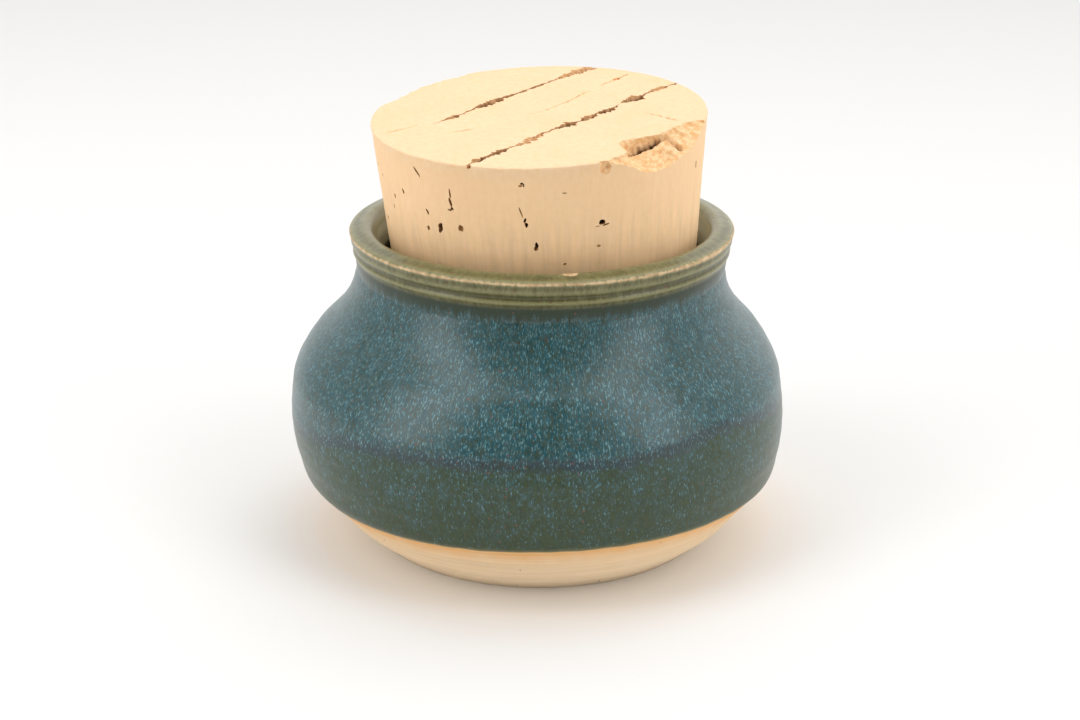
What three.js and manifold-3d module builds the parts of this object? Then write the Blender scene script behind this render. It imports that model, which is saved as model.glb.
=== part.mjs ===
// A small thrown stoneware jar with a rolled rim, shut by a wide tapered cork.
//
// Millimetres, +Z up. The origin is the middle of the foot, on the surface that the jar stands on,
// and the front is -Y. The jar is one hollow solid with its mouth open. The cork is a second solid
// that sits in the mouth a little askew, just clear of the throat all round.

import * as THREE from "three";
import { mergeVertices } from "three/addons/utils/BufferGeometryUtils.js";
import Module from "manifold-3d";

// Jar, outside
const FOOT_RADIUS = 32;
const FOOT_BEVEL = 0.6;
const TRIM_RADIUS = 43.4; // where the trimmed slope of the foot turns up into the belly
const TRIM_HEIGHT = 12.5;
const GLAZE_LINE = 12.4; // mean height where the bare clay ends and the glaze begins
const GLAZE_RUN = 2.6; // how much further down the glaze ran at the left
const GLAZE_RUN_SPREAD = 0.75; // half width of that run, in radians round the jar
const GLAZE_WAVE = 0.3; // how far the line rises and falls elsewhere
const GLAZE_WAVES = 3; // times round the jar
const GLAZE_WAVE_START = 0.6; // radians from the left at which the waves start
const GLAZE_FOLLOW = 9; // height over which the rings above the line follow it
const GLAZE_COAT = 0.3; // thickness of the glaze, which shows as a step at its lower edge
const BELLY_RADIUS = 45.15;
const BELLY_HEIGHT = 22;
const WAIST_RADIUS = 33.1; // narrowest place of the neck
const WAIST_HEIGHT = 49.8;
const RIM_HEIGHT = 58;
const RIM_RADIUS = 34.7; // at the bare edge round the lip
const BELLY_LEAN = 0.6; // how far the belly sits off the foot's axis, to the left
const BELLY_LEAN_RISE = 1.3; // over 1 puts the most lean above the middle of the wall
const RIM_LEAN = 0.3; // how far the rim sits off the foot's axis, to the right
const RIM_LEAN_REACH = 4; // the rim's lean comes in over this height on either side of the waist

// Jar, inside
const FLOOR_THICKNESS = 5.5;
const INSIDE_RADIUS = 40.8;
const THROAT_RADIUS = 28.6; // narrowest place, where the cork sits
const THROAT_HEIGHT = 52;

// Cork
const CORK_LENGTH = 32;
const CORK_TOP_RADIUS = 29.65;
const CORK_TAPER = 0.083; // radius lost for each millimetre of length
const CORK_BEVEL = 0.3;
const CORK_TOP_HEIGHT = 78.05; // middle of the top face
const CORK_LEAN_LEFT = THREE.MathUtils.degToRad(2.2);
const CORK_LEAN_FRONT = THREE.MathUtils.degToRad(4.05);
const CORK_TOP_OFFSET = new THREE.Vector2(-0.2, -1.75); // middle of the top face, seen from above

// Cracks: their width and depth are the named sizes times an uneven share that varies in two
// waves along the crack, given as the size of each wave and its radians a step.
const CRACK_STEP = 1.6;
const CRACK_SHARE = 0.75;
const CRACK_SLOW_WAVE = [0.35, 2.4];
const CRACK_QUICK_WAVE = [0.2, 5.1];
const CRACK_LEAST_SHARE = 0.25;
const CRACK_END = 0.06; // how far into a half wave each crack starts and stops, so no end is sharp
const LEFT_CRACK_SIZE = [1.5, 2];
const RIGHT_CRACK_SIZE = [1.9, 2.8];

// Fineness of the faceted shapes
const ROUND_SEGMENTS = 64;
const FOOT_RINGS = 5;
const GLAZED_RINGS = 24;
const RING_CROWDING = 1.2; // over 1 puts the rings closer together near the glaze line
const INSIDE_RINGS = 18;
const PORE_SIDES = 6;
const PORE_BOTTOM = 0.5; // width of a pore's bottom as a share of its mouth
const CUT_MARGIN = 1; // how far a cutting shape stands proud of the face that it cuts

const wasm = await Module();
wasm.setup();

// A closed geometry as a manifold solid: only the position counts, so that shared corners merge.
function solidFrom(geometry) {
  const bare = geometry.clone();
  bare.deleteAttribute("normal");
  bare.deleteAttribute("uv");
  const merged = mergeVertices(bare, 1e-4);
  return new wasm.Manifold(
    new wasm.Mesh({
      numProp: 3,
      vertProperties: merged.attributes.position.array,
      triVerts: new Uint32Array(merged.index.array),
    }),
  );
}

function geometryFrom(solid) {
  const mesh = solid.getMesh();
  const geometry = new THREE.BufferGeometry();
  geometry.setAttribute("position", new THREE.BufferAttribute(mesh.vertProperties, 3));
  geometry.setIndex(new THREE.BufferAttribute(mesh.triVerts, 1));
  geometry.computeVertexNormals();
  return geometry;
}

// Revolves a profile of (radius, height) points about the Z axis.
function revolve(profile) {
  return new THREE.LatheGeometry(profile, ROUND_SEGMENTS).rotateX(Math.PI / 2);
}

// A smooth curve through (radius, height) stations, as evenly spaced points.
function smooth(stations, count) {
  const curve = new THREE.SplineCurve(stations.map(([r, z]) => new THREE.Vector2(r, z)));
  return curve.getSpacedPoints(count);
}

// Jar: the foot is trimmed to a straight slope of bare clay, the belly turns in over it tightly,
// and the shoulder sweeps in to the neck. These are the (radius, height) points of the clay itself.
const WALL = smooth(
  [
    [FOOT_RADIUS, FOOT_BEVEL],
    [FOOT_RADIUS + 4.4, 4.1],
    [TRIM_RADIUS - 3.3, 8.6],
    [TRIM_RADIUS, TRIM_HEIGHT],
    [BELLY_RADIUS - 0.9, TRIM_HEIGHT + 3],
    [BELLY_RADIUS - 0.25, BELLY_HEIGHT - 3.2],
    [BELLY_RADIUS, BELLY_HEIGHT + 1],
    [BELLY_RADIUS - 0.35, BELLY_HEIGHT + 5.4],
    [BELLY_RADIUS - 1.25, BELLY_HEIGHT + 10],
    [WAIST_RADIUS + 7.65, WAIST_HEIGHT - 12.4],
    [WAIST_RADIUS + 3.4, WAIST_HEIGHT - 7.8],
    [WAIST_RADIUS + 1.1, WAIST_HEIGHT - 4],
    [WAIST_RADIUS, WAIST_HEIGHT],
  ],
  200,
);

function wallRadius(z) {
  const above = Math.max(1, WALL.findIndex((point) => point.y >= z - 1e-6));
  const [low, high] = [WALL[above - 1], WALL[above]];
  return THREE.MathUtils.mapLinear(z, low.y, high.y, low.x, high.x);
}

// The outside is the bare clay up to the glaze line and the clay with its coat of glaze above it.
function jarOutside() {
  const bare = [];
  for (let i = 0; i <= FOOT_RINGS; i++) {
    const z = THREE.MathUtils.lerp(FOOT_BEVEL, GLAZE_LINE, i / FOOT_RINGS);
    bare.push(new THREE.Vector2(wallRadius(z), z));
  }
  const glazed = [];
  for (let i = 0; i <= GLAZED_RINGS; i++) {
    const z = THREE.MathUtils.lerp(GLAZE_LINE, WAIST_HEIGHT, (i / GLAZED_RINGS) ** RING_CROWDING);
    glazed.push(new THREE.Vector2(wallRadius(z) + GLAZE_COAT, z));
  }
  glazed[0].y += GLAZE_COAT / 3;
  return [new THREE.Vector2(0, 0), new THREE.Vector2(FOOT_RADIUS - FOOT_BEVEL, 0), ...bare, ...glazed];
}

// Rim: a rolled collar with two soft ridges, a bare edge where the glaze ran thin, and a top face
// that rises inwards to a crest and rounds over into the throat.
function jarRim() {
  const collar = [
    [WAIST_RADIUS + GLAZE_COAT + 0.15, WAIST_HEIGHT + 1.5],
    [RIM_RADIUS - 1.03, RIM_HEIGHT - 5.4],
    [RIM_RADIUS - 0.6, RIM_HEIGHT - 4.6],
    [RIM_RADIUS - 0.8, RIM_HEIGHT - 3.7],
    [RIM_RADIUS - 0.2, RIM_HEIGHT - 2.6],
    [RIM_RADIUS - 0.22, RIM_HEIGHT - 1.8],
    [RIM_RADIUS, RIM_HEIGHT - 1.1],
    [RIM_RADIUS - 0.5, RIM_HEIGHT - 0.6],
    [RIM_RADIUS - 1.5, RIM_HEIGHT - 0.35],
    [RIM_RADIUS - 2.7, RIM_HEIGHT],
    [RIM_RADIUS - 3.5, RIM_HEIGHT - 0.15],
    [RIM_RADIUS - 4.2, RIM_HEIGHT - 0.65],
    [RIM_RADIUS - 4.7, RIM_HEIGHT - 1.5],
    [RIM_RADIUS - 5, RIM_HEIGHT - 2.5],
    [THROAT_RADIUS + 0.55, THROAT_HEIGHT + 2.2],
  ];
  return collar.map(([r, z]) => new THREE.Vector2(r, z));
}

// Inside: from the throat the wall opens out under the shoulder, follows the belly, and rounds
// into a flat floor.
function jarInside() {
  const wall = smooth(
    [
      [THROAT_RADIUS, THROAT_HEIGHT],
      [THROAT_RADIUS + 0.5, THROAT_HEIGHT - 5.2],
      [INSIDE_RADIUS - 9.2, THROAT_HEIGHT - 9.8],
      [INSIDE_RADIUS - 5.3, THROAT_HEIGHT - 14.4],
      [INSIDE_RADIUS - 2, THROAT_HEIGHT - 19],
      [INSIDE_RADIUS - 0.4, BELLY_HEIGHT + 6],
      [INSIDE_RADIUS, BELLY_HEIGHT],
      [INSIDE_RADIUS - 0.8, BELLY_HEIGHT - 6],
      [INSIDE_RADIUS - 3.4, FLOOR_THICKNESS + 5.6],
      [INSIDE_RADIUS - 7.6, FLOOR_THICKNESS + 1.6],
      [FOOT_RADIUS - 5, FLOOR_THICKNESS],
    ],
    INSIDE_RINGS,
  );
  return [...wall, new THREE.Vector2(0, FLOOR_THICKNESS)];
}

// How far the glaze ran below its mean line at a place round the jar: it ran furthest at the left.
function glazeRun(x, y) {
  const fromLeft = Math.atan2(y, -x);
  const run = GLAZE_RUN * Math.exp(-((fromLeft / GLAZE_RUN_SPREAD) ** 2));
  return run - GLAZE_WAVE * Math.cos(GLAZE_WAVES * fromLeft + GLAZE_WAVE_START);
}

// How far the jar's middle lies to the right of the foot's axis at a height.
function lean(z) {
  const up = THREE.MathUtils.clamp(z / WAIST_HEIGHT, 0, 1) ** BELLY_LEAN_RISE;
  const rim = THREE.MathUtils.smoothstep(z, WAIST_HEIGHT - RIM_LEAN_REACH, WAIST_HEIGHT + RIM_LEAN_REACH);
  return RIM_LEAN * rim - BELLY_LEAN * Math.sin(Math.PI * up) ** 2;
}

// Brings the revolved jar to its thrown shape: the rings near the glaze line follow the line where
// it runs down the wall, and the belly and the rim lie a little off the foot's axis.
function asThrown(geometry) {
  const position = geometry.attributes.position;
  for (let i = 0; i < position.count; i++) {
    const [x, y, z] = [position.getX(i), position.getY(i), position.getZ(i)];
    const radius = Math.hypot(x, y);
    let scale = 1;
    if (z > FOOT_BEVEL && z < WAIST_HEIGHT && radius > wallRadius(z) - 1) {
      const reach = z < GLAZE_LINE ? GLAZE_LINE - FOOT_BEVEL : GLAZE_FOLLOW;
      const near = THREE.MathUtils.smoothstep(1 - Math.abs(z - GLAZE_LINE) / reach, 0, 1);
      const lower = z - glazeRun(x, y) * near;
      scale = (radius + wallRadius(lower) - wallRadius(z)) / radius;
      position.setZ(i, lower);
    }
    position.setX(i, x * scale + lean(position.getZ(i)));
    position.setY(i, y * scale);
  }
  return geometry;
}

function jar() {
  const geometry = asThrown(revolve([...jarOutside(), ...jarRim(), ...jarInside()]));
  const glaze = new THREE.MeshStandardMaterial({ color: "#3f6470", roughness: 0.25, metalness: 0 });
  const mesh = new THREE.Mesh(geometry, glaze);
  mesh.name = "jar";
  return mesh;
}

// Joins a row of like sections, each a ring of points, into one closed solid.
function loft(sections) {
  const around = sections[0].length;
  const index = [];
  for (let s = 0; s + 1 < sections.length; s++) {
    for (let k = 0; k < around; k++) {
      const a = s * around + k;
      const b = s * around + ((k + 1) % around);
      index.push(a, b, a + around, b, b + around, a + around);
    }
  }
  const last = (sections.length - 1) * around;
  for (let k = 1; k + 1 < around; k++) {
    index.push(0, k + 1, k);
    index.push(last, last + k, last + k + 1);
  }
  const geometry = new THREE.BufferGeometry().setFromPoints(sections.flat());
  geometry.setIndex(index);
  const solid = solidFrom(geometry);
  return solid.volume() > 0 ? solid : solidFrom(turnedOut(geometry));
}

// Turns every face of an indexed geometry round.
function turnedOut(geometry) {
  const index = geometry.index.array;
  for (let i = 0; i < index.length; i += 3) {
    [index[i + 1], index[i + 2]] = [index[i + 2], index[i + 1]];
  }
  return geometry;
}

// A wave of the given size and radians a step.
const wave = ([size, turn], step) => size * Math.sin(turn * step);

// A crack in the cork's top face: a wedge of changing width along a line of (x, y) places in the
// top face's own frame. It is narrow at both ends and torn a little unevenly on the way.
function crack(line, [width, depth]) {
  const path = new THREE.CatmullRomCurve3(line.map(([x, y]) => new THREE.Vector3(x, y, 0)));
  const steps = Math.round(path.getLength() / CRACK_STEP);
  const up = new THREE.Vector3(0, 0, 1);
  const sections = [];
  for (let i = 0; i <= steps; i++) {
    const t = i / steps;
    const middle = path.getPointAt(t);
    const across = path.getTangentAt(t).cross(up).normalize();
    const uneven = CRACK_SHARE + wave(CRACK_SLOW_WAVE, i) + wave(CRACK_QUICK_WAVE, i);
    const share = Math.max(CRACK_LEAST_SHARE, uneven);
    const along = Math.sin(Math.PI * THREE.MathUtils.lerp(CRACK_END, 1 - CRACK_END, t));
    const half = (width / 2) * share * Math.sqrt(along);
    const deep = (depth / 2) * (1 + share) * along;
    const flare = 1 + CUT_MARGIN / depth;
    sections.push([
      middle.clone().addScaledVector(across, half * flare).setZ(CUT_MARGIN),
      middle.clone().setZ(-deep),
      middle.clone().addScaledVector(across, -half * flare).setZ(CUT_MARGIN),
    ]);
  }
  return loft(sections);
}

// Where the cork's edge has broken away: each station is the angle from the front in degrees,
// how far in from the edge the break starts, the step down there, and how far down the side it
// comes out.
function brokenEdge(stations) {
  const sections = stations.map(([degrees, inward, step, down]) => {
    const angle = THREE.MathUtils.degToRad(degrees);
    const at = (radius, z) => new THREE.Vector3(Math.sin(angle) * radius, -Math.cos(angle) * radius, z);
    const inner = CORK_TOP_RADIUS - inward;
    const outer = CORK_TOP_RADIUS + CUT_MARGIN;
    const fall = (down - step) / inward;
    return [
      at(inner, CUT_MARGIN),
      at(inner, -step),
      at(outer, -down - fall * CUT_MARGIN),
      at(outer, CUT_MARGIN),
    ];
  });
  return loft(sections);
}

// A pore in the cork's side: a pit of the given width, height and depth, at an angle from the
// front and a distance below the top face.
function pore(degrees, below, width, height, depth) {
  const angle = THREE.MathUtils.degToRad(degrees);
  const outward = new THREE.Vector3(Math.sin(angle), -Math.cos(angle), 0);
  const sideways = new THREE.Vector3(Math.cos(angle), Math.sin(angle), 0);
  const surface = CORK_TOP_RADIUS - CORK_TAPER * below;
  const ring = (radius, scale) =>
    Array.from({ length: PORE_SIDES }, (_, k) => {
      const turn = (2 * Math.PI * k) / PORE_SIDES;
      return outward
        .clone()
        .multiplyScalar(radius)
        .addScaledVector(sideways, ((scale * width) / 2) * Math.cos(turn))
        .setZ(-below + ((scale * height) / 2) * Math.sin(turn));
    });
  return loft([ring(surface + CUT_MARGIN, 1), ring(surface - depth, PORE_BOTTOM)]);
}

// Lines of the two long cracks across the top face, from the front left to the back right.
const LEFT_CRACK = [
  [-18.2, -3.6],
  [-13.5, 1.6],
  [-6.2, 9.7],
  [2.7, 19.8],
  [9, 26.2],
];
const RIGHT_CRACK = [
  [-12.6, -28],
  [-9.5, -23.5],
  [-2.8, -16.5],
  [3.5, -7.9],
  [8.8, -2.9],
  [14.1, 3.5],
  [19.8, 9.9],
  [27, 16.5],
];

// Angle from the front, inward reach, step down and depth on the side.
const FRONT_RIGHT_BREAK = [
  [22, 0.5, 0.1, 0.6],
  [26, 1, 0.3, 1.6],
  [30, 1.7, 0.5, 2.5],
  [34, 5.6, 1.1, 3.3],
  [39.5, 7.7, 1.6, 4.3],
  [48, 6.4, 1.5, 4.4],
  [55.5, 4.6, 1, 3.7],
  [61.5, 4.7, 0.4, 3.4],
  [66, 4.1, 0.15, 2.6],
  [71, 3.6, 0.1, 1.5],
  [75, 1.2, 0.1, 0.5],
];
const BACK_LEFT_BREAK = [
  [-150, 0.4, 0.2, 0.5],
  [-142, 1.1, 0.3, 0.8],
  [-132, 1.3, 0.4, 1],
  [-121, 1.8, 0.4, 1.4],
  [-112, 1.5, 0.3, 1],
  [-106, 0.4, 0.2, 0.5],
];

// Angle from the front, distance below the top, width, height and depth.
const PORES = [
  [-36.4, 12.4, 1.4, 1.7, 2.6],
  [-31.6, 7.4, 0.8, 3.2, 1.8],
  [-28.2, 11.6, 1, 1.2, 0.9],
  [-54, 7.6, 0.8, 1.1, 1.5],
  [-41.8, 9.9, 0.7, 1.2, 1.4],
  [-5, 9.4, 0.8, 1.8, 1.5],
  [-6.2, 2.9, 1.2, 1.1, 1],
  [-2, 14.2, 0.9, 1.5, 1.6],
  [20.7, 11.1, 1.5, 1, 1.8],
  [67.3, 6.7, 0.7, 1.6, 1.2],
  [118, 10.5, 1.3, 1.5, 1.8],
  [147, 6.2, 0.8, 1.8, 1.4],
  [171, 13.8, 1.2, 1.2, 1.5],
  [-166, 8.3, 0.9, 1.4, 1.4],
  [-128, 12, 1.4, 1.2, 1.8],
  [-99, 7.1, 0.8, 1.5, 1.3],
];

// Cork: its own frame has the top face at z = 0 and the axis along +Z.
function cork() {
  const bottomRadius = CORK_TOP_RADIUS - CORK_TAPER * CORK_LENGTH;
  const profile = [
    new THREE.Vector2(0, -CORK_LENGTH),
    new THREE.Vector2(bottomRadius - CORK_BEVEL, -CORK_LENGTH),
    new THREE.Vector2(bottomRadius, CORK_BEVEL - CORK_LENGTH),
    new THREE.Vector2(CORK_TOP_RADIUS, -CORK_BEVEL),
    new THREE.Vector2(CORK_TOP_RADIUS - CORK_BEVEL, 0),
    new THREE.Vector2(0, 0),
  ];
  const cuts = [
    crack(LEFT_CRACK, LEFT_CRACK_SIZE),
    crack(RIGHT_CRACK, RIGHT_CRACK_SIZE),
    brokenEdge(FRONT_RIGHT_BREAK),
    brokenEdge(BACK_LEFT_BREAK),
    ...PORES.map((size) => pore(...size)),
  ];
  const solid = cuts.reduce((rest, cut) => rest.subtract(cut), solidFrom(revolve(profile)));
  const sanded = new THREE.MeshStandardMaterial({ color: "#eccfa5", roughness: 0.85, metalness: 0 });
  const mesh = new THREE.Mesh(geometryFrom(solid), sanded);
  mesh.name = "cork";
  mesh.position.set(CORK_TOP_OFFSET.x, CORK_TOP_OFFSET.y, CORK_TOP_HEIGHT);
  mesh.rotation.set(CORK_LEAN_FRONT, -CORK_LEAN_LEFT, 0);
  return mesh;
}

const corkedJar = new THREE.Group();
corkedJar.add(jar(), cork());

export default corkedJar;
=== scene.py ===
# %% [markdown]
# # A corked stoneware jar
#
# A potter threw this small jar on a wheel, trimmed its foot to a plain slope, dipped it twice in
# a blue-green glaze and fired it hard. A wide tapered cork shuts it. The CAD model that this
# script loads settles every size, so nothing here moves or grows: the two pieces are made again
# with finer meshes in the same places, and get the finish of the real clay, glaze and cork.

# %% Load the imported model
import math

import bmesh
import bpy
import numpy as np
from mathutils import Euler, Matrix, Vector, noise


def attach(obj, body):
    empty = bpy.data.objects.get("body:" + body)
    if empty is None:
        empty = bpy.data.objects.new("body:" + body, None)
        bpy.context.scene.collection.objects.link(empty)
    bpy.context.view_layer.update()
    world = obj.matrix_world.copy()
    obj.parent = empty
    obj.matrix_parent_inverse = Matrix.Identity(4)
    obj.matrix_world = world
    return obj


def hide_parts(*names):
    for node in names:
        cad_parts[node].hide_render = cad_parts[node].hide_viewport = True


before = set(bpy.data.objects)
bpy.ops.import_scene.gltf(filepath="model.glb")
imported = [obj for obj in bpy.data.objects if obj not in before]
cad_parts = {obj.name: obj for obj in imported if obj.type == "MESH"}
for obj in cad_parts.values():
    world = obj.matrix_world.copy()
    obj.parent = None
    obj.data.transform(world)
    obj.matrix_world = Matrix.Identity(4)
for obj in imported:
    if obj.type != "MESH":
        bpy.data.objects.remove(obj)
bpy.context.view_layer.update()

MM = 0.001

# %% [markdown]
# ## Camera
#
# The photographer stood a little above the jar with a long lens, so it shows the top of the cork
# and hardly any perspective. Matching a photograph could be done by eye, but the ellipses of the
# rim and the foot give the height of the camera exactly: the flatter they are, the lower it is.
# The camera is made first, because every later choice is judged through it.

# %% Make the camera
CAMERA_DISTANCE = 0.370
CAMERA_ELEVATION = math.radians(20.41)
CAMERA_TARGET = Vector((0, 0, 0.03097))
SENSOR_WIDTH = 36
LENS = 66.67

camera_data = bpy.data.cameras.new("camera")
camera_data.sensor_width = SENSOR_WIDTH
camera_data.lens = LENS
camera = bpy.data.objects.new("camera", camera_data)
bpy.context.scene.collection.objects.link(camera)
back = Vector((0, -math.cos(CAMERA_ELEVATION), math.sin(CAMERA_ELEVATION)))
camera.location = CAMERA_TARGET + CAMERA_DISTANCE * back
camera.rotation_euler = (math.pi / 2 - CAMERA_ELEVATION, 0, 0)
bpy.context.scene.camera = camera
print("camera at", [round(v, 3) for v in camera.location])

# %% [markdown]
# ## The jar's profile
#
# A thrown pot is a surface of revolution, so one outline makes it: radius against height. A few
# stations of that outline are real sizes, and a smooth curve runs through them, which is how a
# potter's rib leaves the clay. The curve is the same one as the CAD model's, only with many more
# points along it.

# %% Outline of the thrown clay
FOOT_RADIUS = 32
FOOT_BEVEL = 0.6
TRIM_RADIUS = 43.4
TRIM_HEIGHT = 12.5
GLAZE_LINE = 12.4
GLAZE_RUN = 2.6
GLAZE_FOLLOW = 9
GLAZE_COAT = 0.3
BELLY_RADIUS = 45.15
BELLY_HEIGHT = 22
BELLY_LEAN = 0.6
BELLY_LEAN_RISE = 1.3
RIM_LEAN = 0.3
RIM_LEAN_REACH = 4
WAIST_RADIUS = 33.1
WAIST_HEIGHT = 49.8
RIM_HEIGHT = 58
RIM_RADIUS = 34.7
FLOOR_THICKNESS = 5.5
INSIDE_RADIUS = 40.8
THROAT_RADIUS = 28.6
THROAT_HEIGHT = 52


def smooth_curve(stations, count):
    """Evenly spaced points of a Catmull-Rom curve through (radius, height) stations."""
    p = np.array([stations[0], *stations, stations[-1]], float)
    t = np.linspace(0, 1, 60, endpoint=False)[:, None]
    pieces = []
    for a, b, c, d in zip(p, p[1:], p[2:], p[3:]):
        square, cube = 2 * a - 5 * b + 4 * c - d, 3 * b - a - 3 * c + d
        pieces.append(0.5 * (2 * b + (c - a) * t + square * t**2 + cube * t**3))
    dense = np.vstack([*pieces, p[-1:]])
    length = np.concatenate([[0], np.cumsum(np.hypot(*np.diff(dense, axis=0).T))])
    even = np.linspace(0, length[-1], count)
    return np.stack([np.interp(even, length, dense[:, k]) for k in (0, 1)], 1)


WALL = smooth_curve(
    [
        (FOOT_RADIUS, FOOT_BEVEL),
        (FOOT_RADIUS + 4.4, 4.1),
        (TRIM_RADIUS - 3.3, 8.6),
        (TRIM_RADIUS, TRIM_HEIGHT),
        (BELLY_RADIUS - 0.9, TRIM_HEIGHT + 3),
        (BELLY_RADIUS - 0.25, BELLY_HEIGHT - 3.2),
        (BELLY_RADIUS, BELLY_HEIGHT + 1),
        (BELLY_RADIUS - 0.35, BELLY_HEIGHT + 5.4),
        (BELLY_RADIUS - 1.25, BELLY_HEIGHT + 10),
        (WAIST_RADIUS + 7.65, WAIST_HEIGHT - 12.4),
        (WAIST_RADIUS + 3.4, WAIST_HEIGHT - 7.8),
        (WAIST_RADIUS + 1.1, WAIST_HEIGHT - 4),
        (WAIST_RADIUS, WAIST_HEIGHT),
    ],
    600,
)


def wall_radius(z):
    """Radius of the bare clay's outside at a height."""
    return np.interp(z, WALL[:, 1], WALL[:, 0])


widest = WALL[WALL[:, 0].argmax()]
print("widest", round(widest[0] * 2, 1), "mm across at height", round(widest[1], 1))

# %% [markdown]
# ## Rim and inside
#
# The rim was rolled over and pressed with a tool, which left a collar with two soft ridges and a
# groove between them. Ridges this small could be left to a bump texture, but the light catches
# them all round the jar, so they are in the outline. The inside opens out below the throat and
# follows the belly, because the potter kept the wall one thickness.

# %% Outline of the rim and the inside
COLLAR = [
    (WAIST_RADIUS + GLAZE_COAT, WAIST_HEIGHT + 0.2),
    (WAIST_RADIUS + GLAZE_COAT + 0.15, WAIST_HEIGHT + 1.5),
    (RIM_RADIUS - 1.03, RIM_HEIGHT - 5.4),
    (RIM_RADIUS - 0.6, RIM_HEIGHT - 4.6),
    (RIM_RADIUS - 0.8, RIM_HEIGHT - 3.75),
    (RIM_RADIUS - 0.3, RIM_HEIGHT - 2.8),
    (RIM_RADIUS - 0.22, RIM_HEIGHT - 1.8),
    (RIM_RADIUS, RIM_HEIGHT - 1.1),
    (RIM_RADIUS - 0.5, RIM_HEIGHT - 0.6),
    (RIM_RADIUS - 1.5, RIM_HEIGHT - 0.35),
    (RIM_RADIUS - 2.7, RIM_HEIGHT - 0.02),
    (RIM_RADIUS - 3.5, RIM_HEIGHT - 0.15),
    (RIM_RADIUS - 4.2, RIM_HEIGHT - 0.65),
    (RIM_RADIUS - 4.7, RIM_HEIGHT - 1.5),
    (RIM_RADIUS - 5.0, RIM_HEIGHT - 2.5),
    (THROAT_RADIUS + 0.55, THROAT_HEIGHT + 2.2),
    (THROAT_RADIUS, THROAT_HEIGHT),
]
INSIDE = [
    (THROAT_RADIUS, THROAT_HEIGHT - 0.3),
    (THROAT_RADIUS + 0.5, THROAT_HEIGHT - 5.2),
    (INSIDE_RADIUS - 9.2, THROAT_HEIGHT - 9.8),
    (INSIDE_RADIUS - 5.3, THROAT_HEIGHT - 14.4),
    (INSIDE_RADIUS - 2, THROAT_HEIGHT - 19),
    (INSIDE_RADIUS - 0.4, BELLY_HEIGHT + 6),
    (INSIDE_RADIUS, BELLY_HEIGHT),
    (INSIDE_RADIUS - 0.8, BELLY_HEIGHT - 6),
    (INSIDE_RADIUS - 3.4, FLOOR_THICKNESS + 5.6),
    (INSIDE_RADIUS - 7.6, FLOOR_THICKNESS + 1.6),
    (FOOT_RADIUS - 5, FLOOR_THICKNESS),
]
GLAZE_ROLL = 1.2
GLAZE_ROUND = 0.5
LINE_GAP = 0.01
CENTRE = 0.5
RINGS = {"base": 22, "clay": 38, "roll": 9, "glaze": 84, "rim": 74, "inside": 34, "floor": 12}


def outline():
    """Radius, height and part of every ring, from the middle of the base round to the inside floor."""
    underside = [(r, 0) for r in np.linspace(CENTRE, FOOT_RADIUS - FOOT_BEVEL, RINGS["base"])]
    bare_z = np.linspace(FOOT_BEVEL, GLAZE_LINE - LINE_GAP, RINGS["clay"])
    roll_z = GLAZE_LINE + GLAZE_ROLL * (np.linspace(0, 1, RINGS["roll"]) ** 2)
    glazed_z = np.linspace(GLAZE_LINE + GLAZE_ROLL, WAIST_HEIGHT, RINGS["glaze"])[1:]
    coated = np.concatenate([roll_z, glazed_z])
    coat = GLAZE_COAT * np.sqrt(np.clip((coated - GLAZE_LINE) / GLAZE_ROUND, 0, 1))
    parts = [
        ("base", underside),
        ("clay", np.stack([wall_radius(bare_z), bare_z], 1)),
        ("glaze", np.stack([wall_radius(coated) + coat, coated], 1)),
        ("rim", smooth_curve(COLLAR, RINGS["rim"])),
        ("inside", smooth_curve(INSIDE, RINGS["inside"])),
        ("floor", [(r, FLOOR_THICKNESS) for r in np.linspace(FOOT_RADIUS - 5.5, CENTRE, RINGS["floor"])]),
    ]
    r, z, names = zip(*[(r, z, name) for name, points in parts for r, z in points])
    return np.array(r), np.array(z), list(names)


RING_R, RING_Z, RING_PART = outline()
print(len(RING_PART), "rings")

# %% [markdown]
# ## How the glaze ran
#
# The jar was held by the foot and dipped, so the glaze stops at a line round the lower wall. It
# ran further down at the left. A second dip reached only to the middle of the belly: where both
# coats lie the glaze is thick and breaks into blue crystals, and below that it stays dark green.
# Both edges wander, so each is a height for every direction round the jar.

# %% Heights of the two glaze edges
# Height in mm of the second dip's edge at each angle in degrees from the front to the right.
DIP_EDGE = [
    (-180, 26), (-120, 25), (-66, 24), (-43, 28.6), (-20, 29), (0, 29.6), (20, 29), (44, 31.2), (75, 27.6),
    (125, 26.5), (180, 26),
]
DIP_SOFTNESS = 20
GLAZE_RUN_SPREAD = 0.75
GLAZE_WAVE = 0.3


def glaze_run(around):
    """How far below its mean line the glaze ran, for an angle from the front in radians."""
    from_left = np.angle(np.exp(1j * (around + math.pi / 2)))
    run = GLAZE_RUN * np.exp(-((from_left / GLAZE_RUN_SPREAD) ** 2))
    return run - GLAZE_WAVE * np.cos(3 * from_left + 0.6)


def dip_height(around):
    """Height of the second dip's edge, for an angle from the front in radians."""
    angles, heights = np.array(DIP_EDGE).T
    fine = np.linspace(-180, 180, 361)
    curve = np.interp(fine, angles, heights)
    window = np.hanning(DIP_SOFTNESS + 3)
    all_round = np.concatenate([curve[-DIP_SOFTNESS - 1 : -1], curve, curve[1 : DIP_SOFTNESS + 1]])
    soft = np.convolve(all_round, window / window.sum(), "same")
    return np.interp(np.degrees(around), fine, soft[DIP_SOFTNESS:-DIP_SOFTNESS])


for side, angle in (("left", -math.pi / 2), ("front", 0)):
    print("glaze line at the", side, round(GLAZE_LINE - float(glaze_run(angle)), 1), "mm up")

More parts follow.
